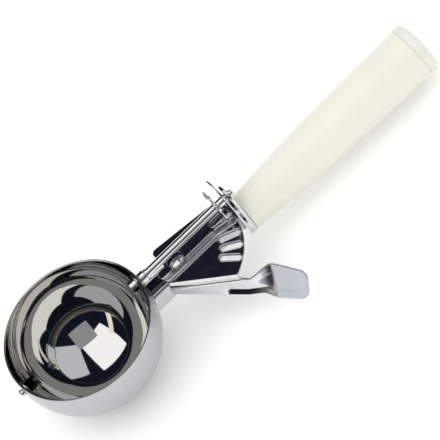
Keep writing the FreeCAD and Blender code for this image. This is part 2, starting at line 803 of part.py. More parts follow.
pivot_sketch = new_sketch(lever, "lever_bore_profile", "XY_Plane", ("0", "0", "-lever_drop"))
circle(pivot_sketch, "pivot_radius + run_gap")
pocket(lever, "lever_bore", pivot_sketch, "lever_thick")
place(lever, "pivot_station", "0", SHAFT_Z)
node(lever, "thumb_lever")

# Return spring: round the spacer, one leg along the channel, the other out to the lever's flange
spring = new_body("spring_body")
wire_sketch = new_sketch(spring, "wire_profile", "XZ_Plane")
circle(wire_sketch, "wire_radius", "coil_radius")
LEG_TURN = "(lever_leg_angle + 180)"
coil = spring.newObject("PartDesign::AdditiveHelix", "coil")
coil.Profile = wire_sketch
coil.ReferenceAxis = (wire_sketch, ["V_Axis"])
coil.Mode = 1
bind(coil, Pitch="coil_pitch", Turns=f"coil_turns + {LEG_TURN} / 360")
doc.recompute()
low_leg = new_sketch(spring, "frame_leg_profile", "XZ_Plane")
circle(low_leg, "wire_radius", "coil_radius")
pad(spring, "frame_leg", low_leg, "frame_leg_length")
COIL_RISE = f"(coil_pitch * (coil_turns + {LEG_TURN} / 360))"
high_leg = new_sketch(spring, "lever_leg_profile", "XZ_Plane", turn=("0", LEG_TURN, "0"))
circle(high_leg, "wire_radius", "coil_radius", COIL_RISE)
pad(spring, "lever_leg", high_leg, "lever_leg_length", back=True)
place(spring, "pivot_station", "0", f"-rim_rise - coil_top_drop - {COIL_RISE}", Rotation(Vector(0, 0, 1), 90))
node(spring, "return_spring")

# Handle: a moulded grip that swells towards its butt, with shallow grooves between six panels
grip = new_body("grip_body")
grip_sketch = new_sketch(grip, "grip_profile", "XZ_Plane")
outline(grip_sketch, [
    ("0", "tang_radius"),
    ("tang_length", "tang_radius"),
    ("tang_length", "0"),
    ("grip_length - cap_plug_length - air_gap", "0"),
    ("grip_length - cap_plug_length - air_gap", "cap_plug_radius"),
    ("grip_length", "cap_plug_radius"),
    ("grip_length", "grip_end_radius"),
    ("grip_swell_end", "grip_swell_end_radius", "grip_swell_curve", 1),
    ("grip_swell_start", "grip_swell_start_radius"),
    ("0", "grip_start_radius"),
])
revolve(grip, "grip_turn", grip_sketch, "H_Axis")
RISE_NEAR = "((grip_swell_start_radius - grip_start_radius) / grip_swell_start)"
RISE_FAR = "((grip_end_radius - grip_swell_end_radius) / (grip_length - grip_swell_end))"
GROOVE_TOP = "(grip_end_radius + groove_depth)"
groove_sketch = new_sketch(grip, "groove_profile", "XZ_Plane")
outline(groove_sketch, [
    ("groove_start", f"grip_start_radius + {RISE_NEAR} * groove_start"),
    ("grip_swell_start", "grip_swell_start_radius - groove_depth", "grip_swell_curve", -1),
    ("grip_swell_end", "grip_swell_end_radius - groove_depth"),
    ("groove_end", f"grip_swell_end_radius - groove_depth + {RISE_FAR} * (groove_end - grip_swell_end)"),
    ("groove_end", GROOVE_TOP),
    ("groove_start", GROOVE_TOP),
])
before = grip.Shape.Volume
groove = grip.newObject("PartDesign::Pocket", "groove")
groove.Profile = groove_sketch
bind(groove, Length="groove_width")
groove.Midplane = True
doc.recompute()
if grip.Shape.Volume > before - 1e-4:
    raise ValueError("the groove cuts nothing")
grooves = grip.newObject("PartDesign::PolarPattern", "grooves")
grooves.Originals = [groove]
grooves.Axis = (plane(grip, "X_Axis"), [""])
grooves.Angle = 360
grooves.Occurrences = GROOVE_COUNT
grip.Tip = grooves
doc.recompute()
GRIP_FRAME = f"placement(vector({GRIP_START}; 0; {GRIP_Z}); rotation(0; 0; groove_angle))"
bind(grip, Placement=GRIP_FRAME)
node(grip, "handle_grip")

# Butt cap, plugged into the handle's hollow end
cap = new_body("cap_body")
cap_sketch = new_sketch(cap, "cap_profile", "XZ_Plane")
CAP_FLAT = "(cap_radius - cap_round)"
outline(cap_sketch, [
    ("-cap_plug_length", "0"),
    ("0", "0"),
    ("cap_length", "0", f"(({CAP_FLAT} ^ 2 + cap_crown ^ 2) / (2 * cap_crown))", 1),
    ("cap_length - cap_crown", CAP_FLAT, "cap_round", 1),
    ("cap_length - cap_crown - cap_round", "cap_radius"),
    ("0", "grip_end_radius"),
    ("0", "cap_plug_radius"),
    ("-cap_plug_length", "cap_plug_radius"),
])
revolve(cap, "cap_turn", cap_sketch, "H_Axis")
place(cap, f"{GRIP_START} + grip_length", "0", GRIP_Z)
node(cap, "handle_butt_cap")

# Every object must be sound before any file is written
doc.recompute()
for item in doc.Objects:
    if "Invalid" in item.State or "Error" in item.State:
        raise ValueError(f"{item.Name} failed: {item.State}")
for item in NODES:
    shape = item.Shape
    if shape.isNull() or not shape.isValid() or shape.Volume <= 0:
        raise ValueError(f"{item.Label} is not a sound solid")
    print(f"{item.Label}: {len(shape.Solids)} solid, {shape.Volume:.2f} mm3")
for item in NODES:
    item.Shape.exportStep(os.path.join(OUT, item.Label + ".step"))
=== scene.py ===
"""Looks for the lever ice cream scoop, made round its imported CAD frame.

Lengths are in metres. +X runs along the scraper shaft to the handle, +Z is the way the bowl opens,
and the thumb lever stands on the -Y side. The file is laid out as an add-on and run as a script.
"""

import json
import math

import bmesh
import bpy
import numpy as np
from bpy.props import FloatProperty, FloatVectorProperty, PointerProperty
from mathutils import Matrix, Vector
from mathutils.geometry import delaunay_2d_cdt


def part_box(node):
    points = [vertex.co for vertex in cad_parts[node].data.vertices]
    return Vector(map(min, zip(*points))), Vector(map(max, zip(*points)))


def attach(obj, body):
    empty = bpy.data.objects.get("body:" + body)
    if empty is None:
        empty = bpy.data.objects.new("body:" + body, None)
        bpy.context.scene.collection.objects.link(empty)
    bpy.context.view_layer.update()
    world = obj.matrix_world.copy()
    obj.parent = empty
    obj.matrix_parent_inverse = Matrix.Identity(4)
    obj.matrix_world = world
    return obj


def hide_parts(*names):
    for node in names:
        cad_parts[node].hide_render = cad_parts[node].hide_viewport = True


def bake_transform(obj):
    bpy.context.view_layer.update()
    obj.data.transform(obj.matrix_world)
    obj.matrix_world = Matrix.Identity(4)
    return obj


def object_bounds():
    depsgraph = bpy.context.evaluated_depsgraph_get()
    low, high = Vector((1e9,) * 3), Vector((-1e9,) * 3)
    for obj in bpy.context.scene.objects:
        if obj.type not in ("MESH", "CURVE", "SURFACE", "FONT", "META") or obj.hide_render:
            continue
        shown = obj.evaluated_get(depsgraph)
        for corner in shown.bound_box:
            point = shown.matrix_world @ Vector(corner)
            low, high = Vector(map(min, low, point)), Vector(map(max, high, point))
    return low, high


bl_info = {
    "name": "Lever scoop",
    "version": (1, 0, 0),
    "blender": (4, 5, 0),
    "location": "View3D > Sidebar > Scoop",
    "description": "Builds the visible pieces, finishes and studio of a lever ice cream scoop",
    "category": "Object",
}

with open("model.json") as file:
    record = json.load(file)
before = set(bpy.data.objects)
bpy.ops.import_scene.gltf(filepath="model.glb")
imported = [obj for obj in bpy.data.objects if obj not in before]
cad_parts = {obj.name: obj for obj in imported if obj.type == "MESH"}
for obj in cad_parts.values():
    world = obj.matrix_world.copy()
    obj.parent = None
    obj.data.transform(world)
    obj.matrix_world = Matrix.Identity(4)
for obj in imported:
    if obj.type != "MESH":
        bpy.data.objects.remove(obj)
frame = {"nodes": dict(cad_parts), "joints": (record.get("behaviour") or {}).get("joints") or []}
CAD_BOX = [list(corner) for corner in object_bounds()]

HINGES = {joint["name"]: joint for joint in frame["joints"]}
SHAFT_Z = HINGES["scraper_hinge"]["pos_m"][2]
PIVOT = np.array(HINGES["lever_hinge"]["pos_m"])
MM = 0.001

# The photograph's view: what lies to the right, up and towards the camera with the shaft level in the
# picture, the cosine and sine by which the picture is then turned, and the point at its middle
VIEW_RIGHT = np.array((0.997, -0.045, 0.060))
VIEW_UP = np.array((-0.0005, 0.796, 0.6046))
VIEW_BACK = np.array((-0.075, -0.603, 0.794))
VIEW_TURN = 0.72, 0.694
VIEW_AIM = 0.07468, -0.00749, -0.00394

SOFTBOX_WAY = -0.25, -0.02, 0.97

# The dark studio that the steel mirrors: its tones, and its panels from the first laid down to the
# last. A panel has its middle's direction, the direction along its width, half its width and height
# at distance 1, its colour and its power.
STUDIO_DARK, STUDIO_WALL, STUDIO_FLOOR = "#151928", "#7D756B", "#D8D7D4"
STUDIO_PANELS = (
    (SOFTBOX_WAY, (0.0, 1.0, 0.0), 0.52, 0.45, "#FFFFFF", 1.25),  # overhead softbox
    ((0.60, -0.23, 0.76), (0.3, 0.95, 0.0), 0.47, 0.35, "#D2D5DA", 1.0),  # pale panel over the handle
    ((-0.075, -0.603, 0.794), (1.0, -0.1, 0.0), 0.30, 0.26, "#A0A0A0", 1.0),  # grey card by the camera
    ((-0.88, -0.46, 0.09), (0.46, -0.88, 0.0), 0.14, 0.13, "#0E1018", 1.0),  # dark card, for the flare
    ((-0.964, 0.0, 0.26), (0.0, 1.0, 0.0), 0.245, 0.30, "#EDF0F8", 1.06),  # cool panel, for the pad
    ((-0.765, -0.265, 0.588), (0.469, -0.742, 0.26), 0.06, 0.36, "#FBF4E6", 1.1),  # warm, for the fold
    ((-0.12, -0.98, 0.13), (1.0, -0.12, 0.0), 0.55, 0.19, "#C3C5CB", 1.0),  # low panel beside the lever
)


def span(node, axis=0):
    """Lowest and highest coordinate of a CAD node along an axis."""
    low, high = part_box(node)
    return low[axis], high[axis]


def linear(code):
    """An sRGB hex colour as linear red, green and blue."""
    levels = [int(code[k:k + 2], 16) / 255 for k in (1, 3, 5)]
    return tuple(v / 12.92 if v <= 0.04045 else ((v + 0.055) / 1.055) ** 2.4 for v in levels)


def length(name, words, default):
    """A length that the user may change, in metres."""
    return FloatProperty(name=name, description=words, default=default, min=0.0, precision=5,
                         subtype="DISTANCE", unit="LENGTH")


def turn(name, words, degrees):
    """An angle that the user may change."""
    return FloatProperty(name=name, description=words, default=math.radians(degrees), subtype="ANGLE",
                         unit="ROTATION")


def colour(name, words, code):
    """A colour that the user may change, stored as linear values."""
    return FloatVectorProperty(name=name, description=words, default=linear(code), subtype="COLOR",
                               min=0.0, max=1.0)


class ScoopColours(bpy.types.PropertyGroup):
    """Base colours of the finishes."""

    polished: colour("Polished steel", "Inside of the bowl, mirror-polished stainless sheet", "#D9D8D5")
    satin: colour("Satin steel", "Outside of the bowl", "#ABADB1")
    stamped: colour("Stamped steel", "Lever, channel and plates, tumbled stainless sheet", "#D3D4D7")
    turned: colour("Turned steel", "Shaft, rivets and washers", "#D6D6D5")
    wire: colour("Spring wire", "Drawn stainless spring wire", "#A6A6A8")
    ivory: colour("Ivory grip", "Moulded grip", "#D5D5C9")
    chalk: colour("Butt cap", "Moulded cap, a little greyer than the grip", "#D1D1C9")
    floor: colour("Floor", "Plain pale floor", "#FBFBFA")


class ScoopBowlSizes(bpy.types.PropertyGroup):
    """Bowl and scraper blade."""

    wall: length("Wall", "Thickness of the bowl's sheet", 0.8 * MM)
    rim_round: length("Rim rounding", "Radius of the rim's polished edges", 0.25 * MM)
    blade_gap: length("Blade gap", "Space between the bowl and the blade", 0.35 * MM)
    blade_wall: length("Blade wall", "Thickness of the blade", 0.8 * MM)
    blade_width: length("Blade width", "Width of the blade's strip", 7.6 * MM)
    blade_eye: length("Eye radius", "Radius of the eyes at the blade's ends", 4.4 * MM)


class ScoopShaftSizes(bpy.types.PropertyGroup):
    """Shaft, bearings and star pinion."""

    shaft: length("Shaft radius", "Radius of the scraper shaft", 2.0 * MM)
    journal: length("Journal radius", "Radius of the shaft's end behind the bolster", 1.35 * MM)
    bush_shank: length("Bush shank", "Radius of the front bush inside the bowl's wall", 2.45 * MM)
    pin: length("Pin radius", "Radius of the blade's pivot pin", 1.3 * MM)
    pin_head: length("Pin head height", "Height of the pin's domed head", 1.5 * MM)
    star_body: length("Star body", "Radius of the star between its teeth", 4.7 * MM)
    star_tip: length("Star tip", "Radius of the star at its tips", 8.3 * MM)
    tooth_root: length("Tooth root", "Width of a tooth at its root", 2.5 * MM)
    tooth_tip: length("Tooth tip", "Width of a tooth near its tip", 1.3 * MM)


class ScoopFrameSizes(bpy.types.PropertyGroup):
    """Channel, plates and lever pivot."""

    wall: length("Channel wall", "Thickness of the channel's sheet", 1.2 * MM)
    bend: length("Channel bend", "Outer radius of the channel's bends", 2.2 * MM)
    guard_upper: length("Guard upper radius", "Radius of the guard's upper disc", 7.6 * MM)
    guard_side: length("Guard side", "How far the guard's upper disc stands to +Y", 4.0 * MM)
    guard_rise: length("Guard rise", "How far the guard's upper disc stands above the shaft", 1.0 * MM)
    ear: length("Ear radius", "Radius of the bolster's ear", 5.8 * MM)
    rivet: length("Rivet radius", "Radius of the pivot rivet's shank", 1.5 * MM)
    wire: length("Wire radius", "Radius of the spring's wire", 0.5 * MM)
    coil: length("Coil radius", "Radius of the spring's coil", 3.05 * MM)
    pitch: length("Coil pitch", "Rise of the coil each turn", 1.15 * MM)


class ScoopLeverSizes(bpy.types.PropertyGroup):
    """Thumb lever: sector, fold, arm and pad."""

    wall: length("Sheet", "Thickness of the lever's sheet", 1.2 * MM)
    drop: length("Drop", "Depth of the sector's top below the shaft axis", 6.6 * MM)
    angle: turn("Arm angle", "Direction of the arm in plan at rest", -44.0)
    radius: length("Sector radius", "Radius of the sector's outer edge", 31.0 * MM)
    far: turn("Sector far angle", "Where the sector's round edge ends", 13.5)
    fold_out: length("Fold offset", "Distance of the fold from the arm's line", 10.7 * MM)
    fold_start: length("Fold start", "How far the fold starts before the pivot", 1.5 * MM)
    bend: length("Bend radius", "Outer radius of the fold", 2.9 * MM)
    hook: length("Hook", "How far the fold's lower end runs past the sector's corner", 4.5 * MM)
    flange_start: length("Flange start", "Depth of the flange's lower edge where it starts", 11.7 * MM)
    flange_end: length("Flange end", "Depth of the flange's lower edge at the sector's corner", 16.5 * MM)
    spread: length("Flange spread", "How far the lower edge leans out at the sector's corner", 1.8 * MM)
    flare_start: length("Flare start", "Where along the arm the flared lower edge begins", 19.5 * MM)
    flare_width: length("Flare width", "Width of the flared lower edge", 2.9 * MM)
    flare_lean: turn("Flare lean", "How far the flare leans out from upright", 34.0)
    slot_length: length("Slot length", "Length of a slot", 10.4 * MM)
    slot_width: length("Slot width", "Width of a slot", 3.2 * MM)
    slot_centre: length("Slot centre", "Distance of the slots' middles from the pivot", 25.3 * MM)
    slot_step: turn("Slot step", "Angle from one slot to the next", 12.3)
    collar: length("Collar width", "Width of the coined collar round a slot", 0.34 * MM)
    collar_rise: length("Collar rise", "Height of the coined collar", 0.2 * MM)
    pad_station: length("Pad station", "Place of the pad's middle along the arm", 48.3 * MM)
    pad_out: length("Pad out", "Distance of the pad's middle from the arm's line", 13.4 * MM)
    pad_drop: length("Pad drop", "Depth of the pad's middle below the shaft axis", 13.4 * MM)
    pad_turn: turn("Pad turn", "How far the pad turns from the arm in plan", 11.0)
    pad_lean: turn("Pad lean", "How far the pad's face leans from upright", 43.0)
    pad_length: length("Pad length", "Length of the pad", 20.4 * MM)
    pad_width: length("Pad width", "Width of the pad", 14.4 * MM)
    pad_corner: length("Pad corner", "Radius of the pad's far corners", 4.2 * MM)
    pad_taper: length("Pad taper", "How much narrower the pad's upper edge makes its far end", 3.4 * MM)
    neck_end: length("Neck end", "How far before its middle the pad becomes flat", 3.5 * MM)
    oval_length: length("Oval length", "Length of the pad's pressed oval", 15.0 * MM)
    oval_width: length("Oval width", "Width of the pad's pressed oval", 8.6 * MM)
    oval_depth: length("Oval depth", "Depth of the pad's pressed oval", 0.09 * MM)
    rubbed_from: length("Rubbed from", "Where along the arm the satin of the pad begins", 31 * MM)
    rubbed_to: length("Rubbed to", "Where the satin is full", 39 * MM)


class ScoopHandleSizes(bpy.types.PropertyGroup):
    """Moulded grip and butt cap."""

    start: length("Start radius", "Radius of the grip at the bolster", 8.6 * MM)
    swell_start: length("Swell start", "Where the grip's taper begins to ease", 28.0 * MM)
    swell_start_radius: length("Swell start radius", "Radius there", 10.7 * MM)
    swell_end: length("Swell end", "Where the long slow taper begins", 42.0 * MM)
    swell_end_radius: length("Swell end radius", "Radius there", 11.45 * MM)
    end: length("End radius", "Radius of the grip at the cap", 12.4 * MM)
    groove_start: length("Groove start", "Where the grooves begin", 6.0 * MM)
    groove_end: length("Groove end", "Where the grooves end", 93.0 * MM)
    groove_width: length("Groove width", "Width of a groove", 3.6 * MM)
    groove_depth: length("Groove depth", "Depth of a groove", 0.22 * MM)
    groove_turn: turn("Groove turn", "Angle of the first groove from upright", 10.4)
    cap: length("Cap radius", "Largest radius of the cap", 13.0 * MM)
    cap_round: length("Cap rounding", "Radius of the cap's shoulder", 2.6 * MM)
    cap_crown: length("Cap crown", "Height of the cap's domed end", 1.0 * MM)


class ScoopStageSizes(bpy.types.PropertyGroup):
    """Floor, light and camera."""

    floor_half: length("Floor half", "Half the floor's width", 12.0)
    floor_gap: length("Floor gap", "Space between the floor and the bowl", 0.2 * MM)
    view_width: length("View width", "Width that the picture covers at the scoop", 440 / 2.4 * MM)
    lens: FloatProperty(name="Lens", description="Focal length in millimetres", default=500.0)
    box_height: length("Softbox height", "Distance of the overhead softbox", 0.75)
    box_width: length("Softbox width", "Width of the overhead softbox", 0.62)
    box_depth: length("Softbox depth", "Depth of the overhead softbox", 0.52)
    box_power: FloatProperty(name="Softbox power", description="Power in watts", default=0.75)
    sky: FloatProperty(name="Tent", description="Brightness of the pale tent that lights the floor",
                       default=1.29)


GROUPS = {
    "colours": ScoopColours, "bowl": ScoopBowlSizes, "shaft": ScoopShaftSizes, "frame": ScoopFrameSizes,
    "lever": ScoopLeverSizes, "handle": ScoopHandleSizes, "stage": ScoopStageSizes,
}


class ScoopSettings(bpy.types.PropertyGroup):
    """All that the scoop's operators read."""

    __annotations__ = {key: PointerProperty(type=group) for key, group in GROUPS.items()}


def settings():
    """The scene's settings."""
    return bpy.context.scene.scoop


# Finishes

def add(tree, kind, inputs=None, **values):
    """Add a node; an input is a number, a colour or a socket to link."""
    node = tree.nodes.new(kind)
    for name, value in values.items():
        setattr(node, name, value)
    for key, value in (inputs or {}).items():
        if isinstance(value, bpy.types.NodeSocket):
            tree.links.new(value, node.inputs[key])
        else:
            node.inputs[key].default_value = value
    return node


def blank(name):
    """A material with nodes, its tree, its surface shader and the object coordinates."""
    material = bpy.data.materials.new(name)
    material.use_nodes = True
    tree = material.node_tree
    tree.nodes.clear()
    surface = add(tree, "ShaderNodeBsdfPrincipled")
    add(tree, "ShaderNodeOutputMaterial", {"Surface": surface.outputs["BSDF"]})
    return material, tree, surface, add(tree, "ShaderNodeTexCoord").outputs["Object"]


def mottled(tree, surface, place, tint, grain, spread):
    """Colour that varies by a small share over patches of the given size in metres."""
    patches = add(tree, "ShaderNodeTexNoise", {"Vector": place, "Scale": 1 / grain, "Detail": 3.0})
    shades = add(tree, "ShaderNodeValToRGB", {"Fac": patches.outputs["Fac"]})
    low, high = shades.color_ramp.elements
    low.position, high.position = 0.3, 0.7
    low.color = (*[v * (1 - spread) for v in tint], 1)
    high.color = (*[min(1.0, v * (1 + spread)) for v in tint], 1)
    tree.links.new(shades.outputs["Color"], surface.inputs["Base Color"])


def worn_gloss(tree, surface, place, low, high, grain, rubbed=None):
    """Roughness that wanders between two values, as wiping and handling leave it, plus the amount
    from a socket where the surface is rubbed duller."""
    smears = add(tree, "ShaderNodeTexNoise", {"Vector": place, "Scale": 1 / grain, "Detail": 6.0,
                                              "Roughness": 0.65, "Distortion": 0.8})
    level = add(tree, "ShaderNodeMapRange", {"Value": smears.outputs["Fac"], "From Min": 0.3,
                                             "From Max": 0.7, "To Min": low, "To Max": high})
    gloss = level.outputs["Result"]
    if rubbed:
        gloss = maths(tree, "ADD", gloss, rubbed)
    tree.links.new(gloss, surface.inputs["Roughness"])


def relief(tree, surface, height, depth):
    """Bump from a height socket, with the given depth in metres."""
    bump = add(tree, "ShaderNodeBump", {"Height": height, "Distance": depth, "Strength": 1.0})
    tree.links.new(bump.outputs["Normal"], surface.inputs["Normal"])


def maths(tree, operation, *terms):
    """The result of one arithmetic step."""
    return add(tree, "ShaderNodeMath", dict(enumerate(terms)), operation=operation).outputs[0]


def spun_mirror_stainless():
    """Drawn stainless sheet. Inside it is spun and buffed to a mirror, which leaves faint uneven rings
    about 1.6 mm apart, coarser than real so that they show. Outside it keeps a satin finish, with
    streaks that run down from the rim."""
    material, tree, surface, place = blank("spun_mirror_stainless")
    surface.inputs["Metallic"].default_value = 1.0
    axes = add(tree, "ShaderNodeSeparateXYZ", {"Vector": place}).outputs
    radius = maths(tree, "SQRT", maths(tree, "ADD", maths(tree, "MULTIPLY", axes["X"], axes["X"]),
                                       maths(tree, "MULTIPLY", axes["Y"], axes["Y"])))
    depth = maths(tree, "SUBTRACT", SHAFT_Z, axes["Z"])
    polar = maths(tree, "ARCTAN2", radius, depth)
    around = maths(tree, "ARCTAN2", axes["Y"], axes["X"])
    reach = maths(tree, "SQRT", maths(tree, "ADD", maths(tree, "MULTIPLY", radius, radius),
                                      maths(tree, "MULTIPLY", depth, depth)))
    outer = span("bowl", 1)[1]
    wall = settings().bowl.wall
    outside = add(tree, "ShaderNodeMapRange", {"Value": reach, "From Min": outer - wall * 0.7,
                                               "From Max": outer - wall * 0.3}).outputs["Result"]
    ring_place = add(tree, "ShaderNodeCombineXYZ", {
        "X": maths(tree, "MULTIPLY", polar, outer / (1.6 * MM))})
    rings = add(tree, "ShaderNodeTexNoise", {"Vector": ring_place.outputs[0], "Scale": 1.0,
                                             "Detail": 3.0})
    streak_place = add(tree, "ShaderNodeCombineXYZ", {
        "X": maths(tree, "MULTIPLY", around, outer / (1.3 * MM)),
        "Y": maths(tree, "MULTIPLY", polar, outer / (16 * MM))})
    streaks = add(tree, "ShaderNodeTexNoise", {"Vector": streak_place.outputs[0], "Scale": 1.0,
                                               "Detail": 4.0})
    streaked = maths(tree, "ADD", maths(tree, "MULTIPLY", streaks.outputs["Fac"], 0.3), 0.7)
    shade = add(tree, "ShaderNodeValToRGB", {"Fac": maths(tree, "MULTIPLY", streaked, outside)})
    low, high = shade.color_ramp.elements
    low.color, high.color = (*settings().colours.polished, 1), (*settings().colours.satin, 1)
    tree.links.new(shade.outputs["Color"], surface.inputs["Base Color"])
    smears = add(tree, "ShaderNodeTexNoise", {"Vector": place, "Scale": 1 / (9 * MM), "Detail": 6.0,
                                              "Roughness": 0.65, "Distortion": 0.8})
    mirror = add(tree, "ShaderNodeMapRange", {"Value": smears.outputs["Fac"], "From Min": 0.3,
                                              "From Max": 0.7, "To Min": 0.02, "To Max": 0.055})
    gloss = maths(tree, "ADD", mirror.outputs["Result"], maths(tree, "MULTIPLY", outside, 0.22))
    tree.links.new(gloss, surface.inputs["Roughness"])
    drift = add(tree, "ShaderNodeTexNoise", {"Vector": place, "Scale": 1 / (11 * MM), "Detail": 2.0})
    height = maths(tree, "ADD", maths(tree, "MULTIPLY", rings.outputs["Fac"], 0.35), drift.outputs["Fac"])
    relief(tree, surface, height, 0.010 * MM)
    return material


def tumbled_stainless():
    """Stamped stainless sheet, tumbled and polished: bright, with a soft orange peel 2.5 mm across.
    The thumb's pad, which lies farther out along the arm than any other part, is rubbed satin."""
    material, tree, surface, place = blank("tumbled_stainless")
    surface.inputs["Metallic"].default_value = 1.0
    mottled(tree, surface, place, settings().colours.stamped, 8 * MM, 0.02)
    arm = settings().lever
    along = math.cos(arm.angle), math.sin(arm.angle), 0
    from_pivot = add(tree, "ShaderNodeVectorMath", {0: place, 1: PIVOT}, operation="SUBTRACT").outputs[0]
    reach = add(tree, "ShaderNodeVectorMath", {0: from_pivot, 1: along},
                operation="DOT_PRODUCT").outputs["Value"]
    rubbed = add(tree, "ShaderNodeMapRange", {
        "Value": reach, "From Min": arm.rubbed_from, "From Max": arm.rubbed_to, "To Max": 0.12},
        interpolation_type="SMOOTHSTEP").outputs["Result"]
    worn_gloss(tree, surface, place, 0.06, 0.13, 6 * MM, rubbed)
    peel = add(tree, "ShaderNodeTexNoise", {"Vector": place, "Scale": 1 / (2.5 * MM), "Detail": 2.0})
    relief(tree, surface, peel.outputs["Fac"], 0.010 * MM)
    return material


def turned_stainless():
    """Bar stock turned and buffed: tool rings across the shaft's axis, drawn 0.5 mm apart, which is
    coarser than real, so that they show."""
    material, tree, surface, place = blank("turned_stainless")
    surface.inputs["Metallic"].default_value = 1.0
    mottled(tree, surface, place, settings().colours.turned, 5 * MM, 0.02)
    worn_gloss(tree, surface, place, 0.05, 0.11, 4 * MM)
    wave_scale = 2 * math.pi / (20 * 0.5 * MM)
    rings = add(tree, "ShaderNodeTexWave", {"Vector": place, "Scale": wave_scale, "Distortion": 0.6,
                                            "Detail": 2.0}, bands_direction="X")
    relief(tree, surface, rings.outputs["Fac"], 0.0006 * MM)
    return material


def drawn_spring_wire():
    """Stainless wire drawn through a die: satin, with fine streaks."""
    material, tree, surface, place = blank("drawn_spring_wire")
    surface.inputs["Metallic"].default_value = 1.0
    mottled(tree, surface, place, settings().colours.wire, 1.2 * MM, 0.06)
    worn_gloss(tree, surface, place, 0.18, 0.30, 0.8 * MM)
    streaks = add(tree, "ShaderNodeTexNoise", {"Vector": place, "Scale": 1 / (0.3 * MM), "Detail": 2.0})
    relief(tree, surface, streaks.outputs["Fac"], 0.002 * MM)
    return material


def moulded(name, tint, low, high):
    """Injection-moulded plastic: semi-gloss, a little light passes into it, fine mould texture."""
    material, tree, surface, place = blank(name)
    surface.inputs["IOR"].default_value = 1.49
    surface.inputs["Subsurface Weight"].default_value = 0.12
    surface.inputs["Subsurface Radius"].default_value = (1.0, 0.8, 0.5)
    surface.inputs["Subsurface Scale"].default_value = 2.0 * MM
    mottled(tree, surface, place, tint, 14 * MM, 0.012)
    worn_gloss(tree, surface, place, low, high, 7 * MM)
    grain = add(tree, "ShaderNodeTexNoise", {"Vector": place, "Scale": 1 / (0.5 * MM), "Detail": 3.0})
    relief(tree, surface, grain.outputs["Fac"], 0.006 * MM)
    return material


def moulded_ivory():
    """The grip's ivory plastic."""
    return moulded("moulded_ivory_plastic", settings().colours.ivory, 0.30, 0.42)


def moulded_chalk():
    """The butt cap's plastic, a little glossier than the grip's."""
    return moulded("moulded_chalk_plastic", settings().colours.chalk, 0.26, 0.36)


def matte_paper():
    """Seamless backdrop paper: matte, with a tooth too fine to see, drawn 4 mm across."""
    material, tree, surface, place = blank("matte_paper")
    mottled(tree, surface, place, settings().colours.floor, 4 * MM, 0.004)
    worn_gloss(tree, surface, place, 0.9, 1.0, 30 * MM)
    return material


FINISHES = {
    "bowl_steel": spun_mirror_stainless, "stamped_steel": tumbled_stainless,
    "turned_steel": turned_stainless, "spring_wire": drawn_spring_wire,
    "handle_plastic": moulded_ivory, "cap_plastic": moulded_chalk,
}
SLOTS = {
    "bowl": "bowl_steel", "scraper_blade": "stamped_steel", "star_pinion": "stamped_steel",
    "frame_channel": "stamped_steel", "finger_guard": "stamped_steel", "handle_bolster": "stamped_steel",
    "thumb_lever": "stamped_steel", "return_spring": "spring_wire", "handle_grip": "handle_plastic",
    "handle_butt_cap": "cap_plastic", "front_shaft_bush": "turned_steel", "blade_hub": "turned_steel",
    "blade_pivot_pin": "turned_steel", "blade_pivot_washer": "turned_steel",
    "scraper_shaft": "turned_steel", "shaft_thrust_washer": "turned_steel",
    "shaft_end_ring": "turned_steel", "lever_pivot_rivet": "turned_steel",
    "pivot_spacer": "turned_steel", "pivot_washer": "turned_steel", "handle_tang": "turned_steel",
}
made = {}


def finish(slot):
    """The material of a record slot, made once."""
    if slot not in made:
        made[slot] = FINISHES[slot]()
    return made[slot]


# Shapes

def grid_faces(rows, columns):
    """Corner numbers of the faces of a grid of points, counted row by row."""
    first = (np.arange(rows - 1)[:, None] * columns + np.arange(columns - 1)).reshape(-1, 1)
    return first + np.array([0, 1, columns + 1, columns])


def joined(*parts):
    """Several (points, faces) as one."""
    counts = np.cumsum([0] + [len(points) for points, _ in parts[:-1]])
    return (np.concatenate([points for points, _ in parts]),
            np.concatenate([faces + start for (_, faces), start in zip(parts, counts)]))


def rounded(corners, radii, steps=6, closed=False):
    """A line whose corners become arcs. Each arc is a rational quadratic curve between the points
    where the circle touches the two sides, weighted by the cosine of half the turn."""
    spots = np.asarray(corners, float)
    radii = np.broadcast_to(radii, len(spots)).astype(float)
    before = spots - np.roll(spots, 1, axis=0)
    after = np.roll(spots, -1, axis=0) - spots
    before /= np.linalg.norm(before, axis=1, keepdims=True)
    after /= np.linalg.norm(after, axis=1, keepdims=True)
    half = np.arccos(np.clip((before * after).sum(1), -1, 1)) / 2
    cut = (radii * np.tan(np.minimum(half, 1.5)))[:, None]
    start, stop = (spots - before * cut)[:, None], (spots + after * cut)[:, None]
    t = np.linspace(0, 1, steps)[None, :, None]
    weight = 2 * np.cos(half)[:, None, None] * t * (1 - t)
    arcs = (1 - t) ** 2 * start + weight * spots[:, None] + t ** 2 * stop
    arcs /= (1 - t) ** 2 + weight + t ** 2
    if closed:
        return arcs.reshape(-1, 2)
    return np.concatenate([spots[:1], arcs[1:-1].reshape(-1, 2), spots[-1:]])


def circle_angles(steps):
    """Angles round a circle, ending where they start."""
    angles = np.linspace(0, 2 * np.pi, steps + 1)
    angles[-1] = 0.0
    return angles


def lathe(profile, centre=(0.0, 0.0, SHAFT_Z), axis="X", steps=96):
    """Turn a (station, radius) profile round an axis: the point at station s, radius r and angle a
    is centre + s along the axis + r cos a and r sin a across it."""
    angles = circle_angles(steps)[:, None]
    station, radius = np.asarray(profile).T
    along = station + 0 * angles
    side, up = radius * np.cos(angles), radius * np.sin(angles)
    columns = (along, side, up) if axis == "X" else (side, up, along)
    points = np.stack(columns, -1).reshape(-1, 3) + centre
    return points, grid_faces(len(angles), len(station))


